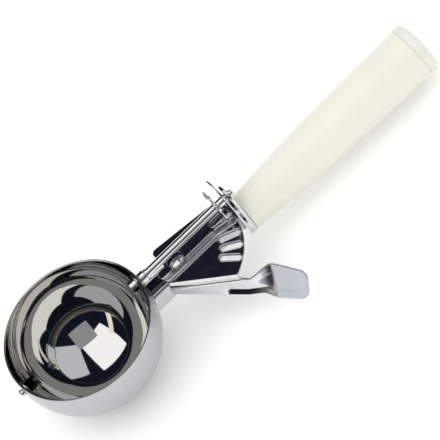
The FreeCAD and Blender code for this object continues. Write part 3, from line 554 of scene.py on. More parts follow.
def plate(discs, start, stop, hole, edge, steps=160):
    """A plate across X. Its outline in each direction is the farthest point of the discs, given as
    (y, z, radius); its edges are round, and so are those of the (y, z, radius) hole."""
    angles = circle_angles(steps)
    ways = np.stack([np.cos(angles), np.sin(angles)], -1)
    discs = np.asarray(discs)
    far = (ways @ discs[:, :2].T + discs[:, 2]).argmax(1)
    inset, station = rounded([(edge, start), (0, start), (0, stop), (edge, stop)], edge).T
    rim = discs[far, :2] + (discs[far, 2] - inset[:, None])[..., None] * ways
    bore = np.asarray(hole[:2]) + (hole[2] + inset[::-1, None] * (hole[2] > 0))[..., None] * ways
    flat = np.concatenate([rim, bore, rim[:1]])
    along = np.concatenate([station, station[::-1], station[:1]])
    along = np.broadcast_to(along[:, None, None], (*flat.shape[:2], 1))
    points = np.concatenate([along, flat], -1)
    return points.reshape(-1, 3), grid_faces(*points.shape[:2])


def tube(path, radius, steps=16):
    """A round wire along a path of points. Each ring lies square to the path's direction, spanned by
    the level line across the path and the line square to both."""
    along = np.gradient(path, axis=0)
    along /= np.linalg.norm(along, axis=1, keepdims=True)
    upright = np.array([0.0, 0.0, 1.0])
    side = np.cross(along, upright)
    side /= np.linalg.norm(side, axis=1, keepdims=True)
    rise = np.cross(side, along)
    angles = circle_angles(steps)[None, :, None]
    swell = np.ones(len(path))
    swell[[0, -1]] = 0.0
    ring = side[:, None] * np.cos(angles) + rise[:, None] * np.sin(angles)
    points = path[:, None] + radius * swell[:, None, None] * ring
    return points.reshape(-1, 3), grid_faces(len(path), steps + 1)


def face_normals(points, faces):
    """Normals of the faces, each as long as the face's area."""
    a, b, c, d = (points[faces[:, k]] for k in range(4))
    return np.cross(c - a, d - b) / 2


def point_normals(points, faces):
    """Normals of the points, each face counted by its area."""
    sums = np.zeros_like(points)
    np.add.at(sums, faces, face_normals(points, faces)[:, None, :])
    return sums / np.maximum(np.linalg.norm(sums, axis=1, keepdims=True), 1e-30)


def sheet_metal(points, faces, wall, edge, steps=6):
    """Give an outer face its wall and its round edges. The inner face is the outer one moved by
    -wall along the normals. A rim point at angle a is the middle of the wall
    + wall/2 cos a along the normal + edge sin a away from the sheet."""
    points, faces = welded(points, faces)
    normals = point_normals(points, faces)
    count = len(points)
    tails, heads = faces.reshape(-1), np.roll(faces, -1, axis=1).reshape(-1)
    real = tails != heads
    tails, heads = tails[real], heads[real]
    lone = ~np.isin(tails * count + heads, heads * count + tails)
    tails, heads = tails[lone], heads[lone]
    away = np.cross(points[heads] - points[tails], normals[tails])
    away /= np.maximum(np.linalg.norm(away, axis=1, keepdims=True), 1e-30)
    reach = np.zeros_like(points)
    np.add.at(reach, tails, away)
    np.add.at(reach, heads, away)
    reach -= (reach * normals).sum(1, keepdims=True) * normals
    reach /= np.maximum(np.linalg.norm(reach, axis=1, keepdims=True), 1e-30)
    angles = np.linspace(0, np.pi, steps + 1)[:, None, None]
    layers = points - wall / 2 * (1 - np.cos(angles)) * normals + edge * np.sin(angles) * reach
    low = np.arange(steps)[:, None] * count
    rim = np.stack([low + heads, low + tails, low + count + tails, low + count + heads], -1)
    inner = faces[:, ::-1] + steps * count
    return layers.reshape(-1, 3), np.concatenate([faces, rim.reshape(-1, 4), inner])


def welded(points, faces):
    """Join points less than 0.2 micrometres apart."""
    mesh = bpy.data.meshes.new("weld")
    mesh.vertices.add(len(points))
    mesh.vertices.foreach_set("co", points.astype(np.float32).reshape(-1))
    tool = bmesh.new()
    tool.from_mesh(mesh)
    tool.verts.ensure_lookup_table()
    found = bmesh.ops.find_doubles(tool, verts=tool.verts[:], dist=2e-7)["targetmap"]
    joins = np.arange(len(points))
    if found:
        pairs = np.array([(gone.index, kept.index) for gone, kept in found.items()])
        joins[pairs[:, 0]] = pairs[:, 1]
    tool.free()
    bpy.data.meshes.remove(mesh)
    used, faces = np.unique(joins[faces], return_inverse=True)
    return points[used], faces.reshape(-1, 4)


def piece(name, shape, slot, body, *nodes):
    """Make a finished piece from (points, faces): joined, closed, turned outwards, smooth, with its
    material; it rides on a body, if one is given, and stands for the CAD nodes."""
    points, faces = welded(*shape)
    same = faces == np.roll(faces, -1, axis=1)
    sides = (~same).sum(1)
    faces, same, sides = (values[sides > 2] for values in (faces, same, sides))
    mesh = bpy.data.meshes.new(name)
    mesh.vertices.add(len(points))
    mesh.vertices.foreach_set("co", points.astype(np.float32).reshape(-1))
    corners = faces[~same]
    mesh.loops.add(len(corners))
    mesh.loops.foreach_set("vertex_index", corners.astype(np.int32))
    mesh.polygons.add(len(sides))
    mesh.polygons.foreach_set("loop_start", (np.cumsum(sides) - sides).astype(np.int32))
    mesh.update(calc_edges=True)
    mesh.validate()
    tool = bmesh.new()
    tool.from_mesh(mesh)
    loose = [vertex for vertex in tool.verts if not vertex.link_faces]
    bmesh.ops.delete(tool, geom=loose, context="VERTS")
    bmesh.ops.recalc_face_normals(tool, faces=tool.faces[:])
    tool.to_mesh(mesh)
    tool.free()
    smooth(mesh)
    thing = bpy.data.objects.new(name, mesh)
    bpy.context.scene.collection.objects.link(thing)
    mesh.materials.append(finish(slot))
    if body:
        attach(thing, body)
    if nodes:
        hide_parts(*nodes)
    return thing


def smooth(mesh):
    """Smooth shading whose normals follow the large faces, so that flats stay flat beside round edges."""
    faces, corners = len(mesh.polygons), len(mesh.loops)
    normals, areas = np.empty(faces * 3), np.empty(faces)
    sides, vertices = np.empty(faces, int), np.empty(corners, int)
    mesh.polygons.foreach_get("normal", normals)
    mesh.polygons.foreach_get("area", areas)
    mesh.polygons.foreach_get("loop_total", sides)
    mesh.loops.foreach_get("vertex_index", vertices)
    sums = np.zeros((len(mesh.vertices), 3))
    np.add.at(sums, vertices, np.repeat(normals.reshape(-1, 3) * areas[:, None], sides, axis=0))
    sums /= np.maximum(np.linalg.norm(sums, axis=1, keepdims=True), 1e-30)
    mesh.polygons.foreach_set("use_smooth", np.ones(faces, bool))
    mesh.normals_split_custom_set_from_vertices(sums.tolist())


def smoothstep(value, low=0.0, high=1.0):
    """From 0 at low to 1 at high along t squared times 3 less 2t."""
    t = np.clip((value - low) / (high - low), 0, 1)
    return t * t * (3 - 2 * t)


def divided(loop, step):
    """Add points to a closed loop so that none of its sides is longer than the step."""
    sides = np.roll(loop, -1, axis=0) - loop
    counts = np.maximum(np.ceil(np.linalg.norm(sides, axis=1) / step - 1e-6), 1).astype(int)
    first = np.repeat(np.arange(len(loop)), counts)
    place = np.arange(counts.sum()) - np.repeat(np.cumsum(counts) - counts, counts)
    return loop[first] + (place / counts[first])[:, None] * sides[first]


def within(points, loop):
    """Whether points lie inside a closed loop: a ray to the right crosses it an odd number of times."""
    a, b = loop, np.roll(loop, -1, axis=0)
    x, y = points[:, :1], points[:, 1:]
    straddles = (a[:, 1] > y) != (b[:, 1] > y)
    rise = np.where(np.abs(b[:, 1] - a[:, 1]) < 1e-12, 1e-12, b[:, 1] - a[:, 1])
    crossing = a[:, 0] + (y - a[:, 1]) * (b[:, 0] - a[:, 0]) / rise
    return (straddles & (x < crossing)).sum(1) % 2 == 1


def filled(outline, holes, lines, step):
    """Triangles over a flat outline with holes; the other lines become edges too. The points between
    lie in rows at the given step, each row shifted by half a step. Lengths are in millimetres."""
    outline = divided(outline, step)
    loops = [outline, *holes, *lines]
    fixed = np.concatenate(loops)
    low, high = outline.min(0), outline.max(0)
    x, y = np.meshgrid(np.arange(low[0], high[0], step), np.arange(low[1], high[1], step * 0.866))
    x = x + np.where(np.arange(len(y))[:, None] % 2, step / 2, 0)
    lattice = np.stack([x.ravel(), y.ravel()], -1)
    lattice = lattice[within(lattice, outline)]
    gaps = np.linalg.norm(lattice[:, None] - fixed[None], axis=2).min(1)
    points = np.concatenate([fixed, lattice[gaps > step * 0.6]])
    sizes = [len(loop) for loop in loops]
    starts = np.cumsum([0, *sizes[:-1]])
    edges = np.concatenate([np.stack([np.arange(n), (np.arange(n) + 1) % n], -1) + start
                            for n, start in zip(sizes, starts)])
    corners = list(map(Vector, points.tolist()))
    spots, _, triangles, *_ = delaunay_2d_cdt(corners, edges.tolist(), [], 0, 1e-6)
    spots, triangles = np.array([tuple(spot) for spot in spots]), np.array(triangles)
    a, b, c = (spots[triangles[:, k]] for k in range(3))
    turns = (b[:, 0] - a[:, 0]) * (c[:, 1] - a[:, 1]) - (b[:, 1] - a[:, 1]) * (c[:, 0] - a[:, 0])
    triangles[turns < 0] = triangles[turns < 0][:, ::-1]
    middles = spots[triangles].mean(1)
    keep = within(middles, outline) & (np.abs(turns) > 1e-7)
    for hole in holes:
        keep &= ~within(middles, hole)
    return spots, triangles[keep][:, [0, 1, 2, 2]]


def circle(x, y, radius, steps=48):
    """Points round a circle, the last one before the first."""
    angles = np.linspace(0, 2 * np.pi, steps, endpoint=False)
    return np.stack([x + radius * np.cos(angles), y + radius * np.sin(angles)], -1)


def turned_plan(points, degrees):
    """Plan points turned about the origin."""
    a = math.radians(degrees)
    return points @ np.array([[math.cos(a), math.sin(a)], [-math.sin(a), math.cos(a)]])


# Pieces

class ScoopBowl(bpy.types.Operator):
    """Make the bowl: a mirror-polished spun cup with its shaft and pin holes"""

    bl_idname = "scoop.bowl"
    bl_label = "Bowl"

    def execute(self, context):
        sizes = settings().bowl
        piece("bowl_shell", sheet_metal(*self.skin(), sizes.wall, sizes.rim_round), "bowl_steel",
              "frame", "bowl")
        return {"FINISHED"}

    def skin(self):
        """Outer face, as rings round the shaft's axis at the polar angles t: the point at turn p is
        R (cos t, sin t cos p, sin t sin p) about the centre. A ring that would pass the rim's height
        starts and stops there, and p runs between the two places, round the bottom. The rings crowd
        where the rim's front and rear are."""
        radius = span("bowl", 1)[1]
        rise = span("bowl", 2)[1] - SHAFT_Z
        bores = settings().shaft.bush_shank, settings().shaft.pin
        crowd = math.asin(rise / radius)
        fine = crowd + (math.pi / 2 - crowd) * np.linspace(0, 1, 70) ** 1.6
        front = np.concatenate([np.linspace(math.asin(bores[0] / radius), crowd, 8)[:-1], fine])
        rear = np.concatenate([np.linspace(math.asin(bores[1] / radius), crowd, 8)[:-1], fine])
        polar = np.concatenate([front, math.pi - rear[-2::-1]])[:, None]
        reach = np.arcsin(np.minimum(1.0, rise / (radius * np.sin(polar))))
        turn = math.pi - reach + np.linspace(0, 1, 161) * (math.pi + 2 * reach)
        points = np.stack([np.cos(polar) + 0 * turn, np.sin(polar) * np.cos(turn),
                           np.sin(polar) * np.sin(turn)], -1) * radius
        faces = grid_faces(*turn.shape)
        points = points.reshape(-1, 3) + (0, 0, SHAFT_Z)
        return points, outwards(points, faces, (0, 0, SHAFT_Z))


def outwards(points, faces, centre):
    """Turn faces so that they look away from a centre."""
    away = points[faces].mean(1) - centre
    inward = (face_normals(points, faces) * away).sum(1).sum() < 0
    return faces[:, ::-1] if inward else faces


class ScoopScraper(bpy.types.Operator):
    """Make the scraper blade and the pin that it swings on"""

    bl_idname = "scoop.scraper"
    bl_label = "Scraper"

    def execute(self, context):
        sizes, turned = settings().bowl, settings().shaft
        radius = span("bowl", 1)[1] - sizes.wall - sizes.blade_gap
        points, faces = self.strip(radius / MM)
        angle, rise = (points / (radius / MM)).T
        points = np.stack([np.cos(rise) * np.cos(angle), -np.cos(rise) * np.sin(angle), np.sin(rise)], -1)
        points = points * radius + (0, 0, SHAFT_Z)
        faces = outwards(points, faces, (0, 0, SHAFT_Z))
        piece("scraper_strip", sheet_metal(points, faces, sizes.blade_wall, 0.25 * MM), "stamped_steel",
              "scraper", "scraper_blade")
        back, tail = span("blade_pivot_pin")
        head = span("blade_pivot_pin", 1)[1]
        shank = turned.pin
        pin = rounded([(back, 0), (back, head), (back + turned.pin_head, head),
                       (back + turned.pin_head, shank), (tail, shank), (tail, 0)],
                      np.array([0, 1.1, 0.1, 0.1, 0.2, 0]) * MM)
        piece("pivot_pin", lathe(pin), "turned_steel", "scraper", "blade_pivot_pin")
        return {"FINISHED"}

    def strip(self, radius):
        """The blade laid flat: x along it from the shaft to the pin, y across it, in millimetres.
        Each end is a round eye, with its hole."""
        sizes, turned = settings().bowl, settings().shaft
        half, eye = sizes.blade_width / 2 / MM, sizes.blade_eye / MM
        meet = math.asin(half / eye)
        front = np.linspace(meet, 2 * math.pi - meet, 40)
        rear = np.linspace(meet - math.pi, math.pi - meet, 40)
        outline = np.concatenate([
            np.stack([eye * np.cos(front), eye * np.sin(front)], -1),
            np.stack([math.pi * radius + eye * np.cos(rear), eye * np.sin(rear)], -1),
        ])
        holes = [circle(0, 0, turned.shaft / MM), circle(math.pi * radius, 0, turned.pin / MM)]
        return filled(outline, holes, [], 0.9)


class ScoopShaft(bpy.types.Operator):
    """Make the scraper shaft, its front bush and the star pinion"""

    bl_idname = "scoop.shaft"
    bl_label = "Shaft"

    def execute(self, context):
        sizes = settings().shaft
        low, high = span("scraper_shaft")
        journal = span("finger_guard")[1] + 0.75 * MM
        profile = rounded([(low, 0), (low, sizes.shaft), (journal, sizes.shaft), (journal, sizes.journal),
                           (high, sizes.journal), (high, 0)],
                          np.array([0, 0.3, 0.15, 0.05, 0.25, 0]) * MM)
        piece("scraper_spindle", lathe(profile), "turned_steel", "scraper", "scraper_shaft")
        low, high = span("front_shaft_bush")
        wall = span("bowl", 1)[1]
        bore, shank, collar = sizes.shaft + 0.05 * MM, sizes.bush_shank, span("front_shaft_bush", 1)[1]
        bush = rounded([(low, bore), (low, shank), (wall, shank), (wall, collar), (high, collar),
                        (high, bore)], np.array([0.1, 0.1, 0.02, 0.3, 0.45, 0.1]) * MM, closed=True)
        piece("front_bush", lathe(np.concatenate([bush, bush[:1]])), "turned_steel", "frame",
              "front_shaft_bush")
        self.star(sizes)
        return {"FINISHED"}

    def star(self, sizes):
        """Eight teeth round a disc. One tooth's corners are turned into eight places, 45 degrees
        apart, and rounded; the flat form is filled, set across the shaft and given its wall."""
        teeth = 8
        body, tip, root, point = (v / MM for v in (sizes.star_body, sizes.star_tip, sizes.tooth_root,
                                                   sizes.tooth_tip))
        half = root / 2 * 0.9
        shoulder = tip - point / 2
        base = math.sqrt(body ** 2 - half ** 2)
        tooth = np.array([(half, -base), (point / 2, -shoulder), (point / 4, -tip), (-point / 4, -tip),
                          (-point / 2, -shoulder), (-half, -base)])
        middle = turned_plan(np.array([(0, -body)]), -180 / teeth)
        corners = np.concatenate([turned_plan(np.concatenate([tooth, middle]), -360 / teeth * k)
                                  for k in range(teeth)])[::-1]
        radii = np.tile([0, 0.5, 0.35, 0.2, 0.2, 0.35, 0.5], teeth)
        outline = rounded(corners, radii, closed=True)
        _, apart = np.unique(np.round(outline, 4), axis=0, return_index=True)
        outline = outline[np.sort(apart)]
        flat, faces = filled(outline, [circle(0, 0, sizes.shaft / MM)], [], 0.9)
        low, high = span("star_pinion")
        points = np.column_stack([np.full(len(flat), high), flat * MM]) + (0, 0, SHAFT_Z)
        piece("star_wheel", sheet_metal(points, faces, high - low, 0.18 * MM), "stamped_steel",
              "scraper", "star_pinion")


class ScoopFrame(bpy.types.Operator):
    """Make the channel, the finger guard and the handle bolster"""

    bl_idname = "scoop.frame"
    bl_label = "Frame"

    def execute(self, context):
        sizes = settings().frame
        piece("channel", self.channel(sizes), "stamped_steel", "frame", "frame_channel")
        grip_z = sum(span("handle_grip", 2)) / 2
        foot = grip_z - span("finger_guard", 2)[0]
        start, stop = span("finger_guard")
        guard_hole, journal_hole, tang_hole = 2.3 * MM, 1.41 * MM, 3.0 * MM
        upper = (sizes.guard_side, SHAFT_Z + sizes.guard_rise, sizes.guard_upper)
        shape = plate([(0, grip_z, foot), upper], start, stop, (0, SHAFT_Z, guard_hole), 0.36 * MM)
        piece("guard_plate", shape, "stamped_steel", "frame", "finger_guard")
        start, stop = span("handle_bolster")
        disc_thick = 0.9 * MM
        step = start + disc_thick
        ear = plate([(0, grip_z, foot), (0, SHAFT_Z, sizes.ear)], step, stop,
                    (0, SHAFT_Z, journal_hole), 0.45 * MM)
        disc = plate([(0, grip_z, foot), (0, grip_z, foot)], start, step + 0.4 * MM,
                     (0, grip_z, tang_hole), 0.3 * MM)
        piece("bolster_plate", joined(disc, ear), "stamped_steel", "frame", "handle_bolster")
        return {"FINISHED"}

    def channel(self, sizes):
        """A trough: the middle line of its wall, moved by half the wall each way along its normal, with
        oval lips, is carried along X from where each of its points meets the bowl to the guard."""
        half, under = span("frame_channel", 1)[1], span("frame_channel", 2)[0]
        top = span("frame_channel", 2)[1]
        wall = sizes.wall
        lip = 0.3 * MM
        mid = rounded([(-half + wall / 2, top - lip), (-half + wall / 2, under + wall / 2),
                       (half - wall / 2, under + wall / 2), (half - wall / 2, top - lip)],
                      sizes.bend - wall / 2, 12)
        along = np.gradient(mid, axis=0)
        along /= np.linalg.norm(along, axis=1, keepdims=True)
        out = np.stack([-along[:, 1], along[:, 0]], -1) * wall / 2
        a = np.linspace(0, np.pi, 9)[1:-1, None]
        right = mid[-1] + out[-1] * np.cos(a) + along[-1] * lip * np.sin(a)
        left = mid[0] - out[0] * np.cos(a) - along[0] * lip * np.sin(a)
        section = np.concatenate([mid + out, right, (mid - out)[::-1], left, (mid + out)[:1]])
        radius = span("bowl", 1)[1] - 0.05 * MM
        begin = np.sqrt(radius ** 2 - section[:, 0] ** 2 - (section[:, 1] - SHAFT_Z) ** 2)
        end = span("finger_guard")[0]
        u = np.linspace(0, 1, 30)[:, None]
        along = begin + u * (end - begin)
        points = np.stack([along, np.broadcast_to(section[:, 0], along.shape),
                           np.broadcast_to(section[:, 1], along.shape)], -1)
        count = section.shape[0]
        body = grid_faces(len(u), count)
        n = len(mid)
        first = np.arange(n - 1)
        other = 2 * n + len(a) - 1 - first
        lid = np.stack([first, first + 1, other - 1, other], -1)
        tail = (len(u) - 1) * count
        lips = [self.cap(np.arange(n - 1, n + len(a) + 1)), self.cap(np.arange(2 * n + len(a) - 1, count))]
        lids = np.concatenate([lid, *lips])
        return points.reshape(-1, 3), np.concatenate([body, lids, lids[:, ::-1] + tail])

    def cap(self, ring):
        """A fan over a row of corners, from its first one."""
        return np.stack([np.full(len(ring) - 2, ring[0]), ring[1:-1], ring[2:], ring[2:]], -1)


class ScoopPivot(bpy.types.Operator):
    """Make the lever's pivot rivet and the return spring"""

    bl_idname = "scoop.pivot"
    bl_label = "Pivot and spring"

    def execute(self, context):
        sizes = settings().frame
        low, top = span("lever_pivot_rivet", 2)
        head = span("lever_pivot_rivet", 1)[1]
        under = span("frame_channel", 2)[0]
        seat = SHAFT_Z - settings().lever.drop + 0.06 * MM
        crown = top - seat - 0.5 * MM
        dome = (head ** 2 + crown ** 2) / (2 * crown)
        a = np.linspace(math.asin(head / dome), 0, 11)
        cap = np.stack([top - dome + dome * np.cos(a), dome * np.sin(a)], -1)
        tail = 2.8 * MM
        corners = np.concatenate([[(low, 0), (low, tail), (under, tail), (under, sizes.rivet),
                                   (seat, sizes.rivet), (seat, head)], cap])
        radii = np.zeros(len(corners))
        radii[[1, 2, 5, 6]] = np.array([0.5, 0.15, 0.12, 0.25]) * MM
        piece("pivot_rivet", lathe(rounded(corners, radii), (PIVOT[0], 0, 0), "Z"), "turned_steel",
              "frame", "lever_pivot_rivet")
        spring = piece("wound_spring", self.spring(sizes), "spring_wire", None, "return_spring")
        low, high = span("return_spring", 2)
        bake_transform(spring)
        return {"FINISHED"}

    def spring(self, sizes):
        """A wire that comes straight along the channel, winds round the pivot, rising by the pitch each
        turn, and leaves straight towards the lever's flange."""
        low, high = span("return_spring", 2)
        low, high = low + sizes.wire, high - sizes.wire
        turns = (high - low) / sizes.pitch
        lever_leg = 21.6 * MM
        a = np.linspace(math.pi / 2, math.pi / 2 + 2 * math.pi * turns, int(turns * 56))
        coil = np.stack([sizes.coil * np.cos(a), sizes.coil * np.sin(a),
                         np.linspace(low, high, len(a))], -1) + (PIVOT[0], 0, 0)
        leg = np.linspace(1, 0, 24, endpoint=False)[:, None]
        last = a[-1] + math.pi / 2
        reach = span("return_spring")[1] - PIVOT[0]
        foot = coil[0] + leg * (reach, 0, 0)
        arm = coil[-1] + leg[::-1] * lever_leg * np.array([math.cos(last), math.sin(last), 0])
        path = np.concatenate([foot[:1], foot, coil, arm, arm[-1:]])
        path[0] += (0.02 * MM, 0, 0)
        path[-1] += 0.02 * MM * np.array([math.cos(last), math.sin(last), 0])
        return tube(path, sizes.wire)


class ScoopLever(bpy.types.Operator):
    """Make the thumb lever: one stamped sheet from its slotted sector to its thumb pad"""

    bl_idname = "scoop.lever"
    bl_label = "Lever"

    def execute(self, context):
        sizes = settings().lever
        self.along = np.array([math.cos(sizes.angle), math.sin(sizes.angle), 0.0])
        self.out = np.array([math.sin(sizes.angle), -math.cos(sizes.angle), 0.0])
        arm = self.arm(sizes)
        sector = self.sector(sizes)
        shape = joined(sector, arm)
        piece("thumb_lever_sheet", sheet_metal(*shape, sizes.wall, 0.3 * MM), "stamped_steel", "lever",
              "thumb_lever")
        return {"FINISHED"}

    def fold_line(self, sizes):
        """Stations of the points that the sector and the fold share: even steps from before the pivot
        to where the fold's line meets the sector's circle."""
        return np.linspace(-sizes.fold_start, math.sqrt(sizes.radius ** 2 - sizes.fold_out ** 2), 56)

    def sector(self, sizes):
        """The flat sector in plan about the pivot: the fold line, the round edge, the far edge and the
        two lobes by the pivot. Each slot has a collar whose height is set on the loops round it."""
        line = self.fold_line(sizes)[:, None] * self.along[:2] + sizes.fold_out * self.out[:2]
        corner = math.atan2(line[-1, 1], line[-1, 0])
        edge = np.linspace(corner, sizes.far, 90)[1:, None]
        edge = sizes.radius * np.concatenate([np.cos(edge), np.sin(edge)], 1)
        back = rounded([edge[-1] / MM, (-4.9, 11.4), (-4.9, 1.1), (-10.6, 1.1), line[0] / MM],
                       [0, 2.0, 0.8, 1.9, 0])
        outline = np.concatenate([line / MM, edge / MM, back[1:-1]])
        half, wide = sizes.slot_length / 2 / MM, sizes.slot_width / 2 / MM
        collar, rise = sizes.collar / MM, sizes.collar_rise / MM
        steps = np.array([0.0, 0.12, 0.3, 0.48, 0.62]) / 0.45 * collar
        heights = np.array([0.8, 1.0, 1.0, 0.35, 0.0]) * rise
        holes, lines, marks = [], [], []
        for number in range(5):
            for grow, height in zip(steps, heights):
                r = wide + grow
                reach = half - wide
                a = np.linspace(-np.pi / 2, np.pi / 2, 17)
                cap = np.stack([reach + r * np.cos(a), r * np.sin(a)], -1)
                loop = divided(np.concatenate([cap, -cap]), 0.7) + (sizes.slot_centre / MM, 0)
                loop = turned_plan(loop, -math.degrees(sizes.slot_step) * number)
                (lines if grow else holes).append(loop)
                marks.append(np.column_stack([loop, np.full(len(loop), height)]))
        rivet_hole = 1.56
        bore = circle(0, 0, rivet_hole, 40)
        flat, faces = filled(outline, [*holes, bore], lines, 1.1)
        marks = np.concatenate(marks)
        apart = np.linalg.norm(flat[:, None] - marks[None, :, :2], axis=2)
        near = apart.argmin(1)
        lift = np.where(apart[np.arange(len(flat)), near] < 1e-3, marks[near, 2], 0)
        points = np.column_stack([flat, lift]) * MM + PIVOT + (0, 0, -sizes.drop)
        return points, faces

    def place(self, station, out, depth):
        """A point at a distance along the arm, out from it, and below the shaft's axis."""
        return (PIVOT + station[..., None] * self.along + out[..., None] * self.out
                - depth[..., None] * np.array([0, 0, 1.0]))

    def across(self, station, on_bend, down, last, sizes):
        """Out and depth on the arm's cross-section at a station. The turn on_bend runs round the bend,
        down runs from it to the crease and last from there to the lower edge, each from 0 to 1. The
        flare below the crease starts at its own station and keeps its width."""
        first, corner = self.fold_line(sizes)[[0, -1]]
        share = np.clip((station - first) / (corner - first), 0, 1.06)
        low_out = sizes.fold_out + sizes.bend + sizes.spread * share
        low_depth = sizes.flange_start + (sizes.flange_end - sizes.flange_start) * share
        grown = smoothstep(station, sizes.flare_start, sizes.flare_start + 4 * MM)
        top_out, top_depth = sizes.fold_out + sizes.bend, sizes.drop + sizes.bend
        flare = sizes.flare_width * math.cos(sizes.flare_lean)
        width = 0.03 * (1 - grown) + grown * flare / (low_depth - top_depth)
        side = grown * sizes.flare_width * math.sin(sizes.flare_lean)
        crease_depth = low_depth - width * (low_depth - top_depth)
        crease_out = top_out + (low_out - top_out) * (1 - width)
        crease_out = crease_out + grown * (low_out - side - crease_out)
        out = sizes.fold_out + sizes.bend * np.sin(on_bend)
        depth = sizes.drop + sizes.bend - sizes.bend * np.cos(on_bend)
        out = out + down * (crease_out - top_out) + last * (low_out - crease_out)
        depth = depth + down * (crease_depth - top_depth) + last * (low_depth - crease_depth)
        return out, depth

    def arm(self, sizes):
        """The fold's upper part, from the sector round the bend to the hook's turn, ends in a hollow
        curve. Below it one grid holds the rest of the bend, the flange, the neck and the pad. The flange
        ends in a slant too. From there to the pad's slanted start the neck is a cubic Hermite surface,
        which leaves along the flange and arrives along the pad.
        The pad's two edges close in along quarter circles at its far end."""
        stations, hook_turn = self.fold_line(sizes), math.radians(68)
        first, corner = stations[[0, -1]]
        u = np.linspace(0, 1, len(stations))[:, None]
        v = np.linspace(0, 1, 13)
        station = first + u * (corner + sizes.hook * v ** 2.2 - first)
        fold = self.place(station, *self.across(station, v * hook_turn, 0 * v, 0 * v, sizes))
        turn = np.linspace(hook_turn, math.pi / 2, 5)
        down, last = np.linspace(0, 1, 30)[1:], np.linspace(0, 1, 12)[1:]
        turn = np.concatenate([turn, np.full(len(down) + len(last), math.pi / 2)])
        down = np.concatenate([np.zeros(5), down, np.ones(len(last))])
        last = np.concatenate([np.zeros(len(turn) - len(last)), last])
        end = np.full(len(turn), corner + sizes.hook)
        section = self.place(end, *self.across(end, turn, down, last, sizes))
        lengths = np.linalg.norm(np.diff(section, axis=0), axis=1)
        share = np.concatenate([[0], np.cumsum(lengths)]) / lengths.sum()
        flange_slant, pad_slant = 3.6 * MM, 2.2 * MM
        end = end + flange_slant * smoothstep(share, 0.2, 0.75)
        station = first + u * (end - first)
        flange = self.place(station, *self.across(station, turn, down, last, sizes))
        heading = sizes.angle - sizes.pad_turn
        x_p = np.array([math.cos(heading), math.sin(heading), 0])
        side = np.array([-math.sin(heading), math.cos(heading), 0])
        y_p = side * math.sin(sizes.pad_lean) + np.array([0, 0, 1]) * math.cos(sizes.pad_lean)
        n_p = np.cross(x_p, y_p)
        middle = self.place(np.array(sizes.pad_station), np.array(sizes.pad_out), np.array(sizes.pad_drop))
        half_long = sizes.pad_length / 2
        u_pad = np.linspace(0, math.pi / 2, 56)
        begin = -sizes.neck_end - pad_slant * (1 - share)
        x = begin + (half_long - begin) * np.sin(u_pad)[:, None]
        y = self.pad_edges(x, share, sizes)
        flat = np.stack([x, y], -1)
        press = -sizes.oval_depth * smoothstep(-self.oval(flat, sizes), -0.7 * MM, 0.9 * MM)
        pad = middle + flat[..., :1] * x_p + flat[..., 1:] * y_p + press[..., None] * n_p
        t = np.linspace(0, 1, 26)[1:-1, None, None]
        gap = np.linalg.norm(pad[0] - flange[-1], axis=1, keepdims=True)
        leave, arrive = flange[-1] - flange[-2], pad[1] - pad[0]
        leave, arrive = (0.8 * gap * way / np.linalg.norm(way, axis=1, keepdims=True)
                         for way in (leave, arrive))
        neck = ((1 + 2 * t) * (1 - t) ** 2 * flange[-1] + t * (1 - t) ** 2 * leave
                + t ** 2 * (3 - 2 * t) * pad[0] - t ** 2 * (1 - t) * arrive)
        rest = np.concatenate([flange, neck, pad])
        points, faces = joined((fold.reshape(-1, 3), grid_faces(*fold.shape[:2])),
                               (rest.reshape(-1, 3), grid_faces(*rest.shape[:2])))
        if face_normals(points, faces[:1])[0, 2] < 0:
            faces = faces[:, ::-1]
        return points, faces

    def pad_edges(self, x, share, sizes):
        """Place across the pad at x along it: the share 0 is its upper edge, which tapers towards the
        far end, and 1 is its lower edge. Quarter circles draw both in at the far end."""
        top = (sizes.pad_width / 2 + 0.3 * MM - sizes.pad_taper * smoothstep(x, -9.5 * MM, 16 * MM)
               - self.corner(x, sizes.pad_length / 2, sizes.pad_corner * 0.8))
        low = self.corner(x, sizes.pad_length / 2, sizes.pad_corner) - sizes.pad_width / 2
        return top + share * (low - top)

    def corner(self, x, end, radius):
        """How far a quarter circle that ends at the pad's end draws its edge in at x."""
        into = np.clip((x - end) / radius + 1, 0, 1)
        return radius * (1 - np.sqrt(1 - into ** 2))

    def oval(self, flat, sizes):
        """Distance from the pressed oval's edge on the pad's plane, less than nothing inside it."""
        round_by = 3.4 * MM
        core = np.array([sizes.oval_length / 2 - round_by, sizes.oval_width / 2 - round_by])
        q = np.abs(flat) - core
        return np.linalg.norm(np.maximum(q, 0), axis=-1) + np.minimum(q.max(-1), 0) - round_by


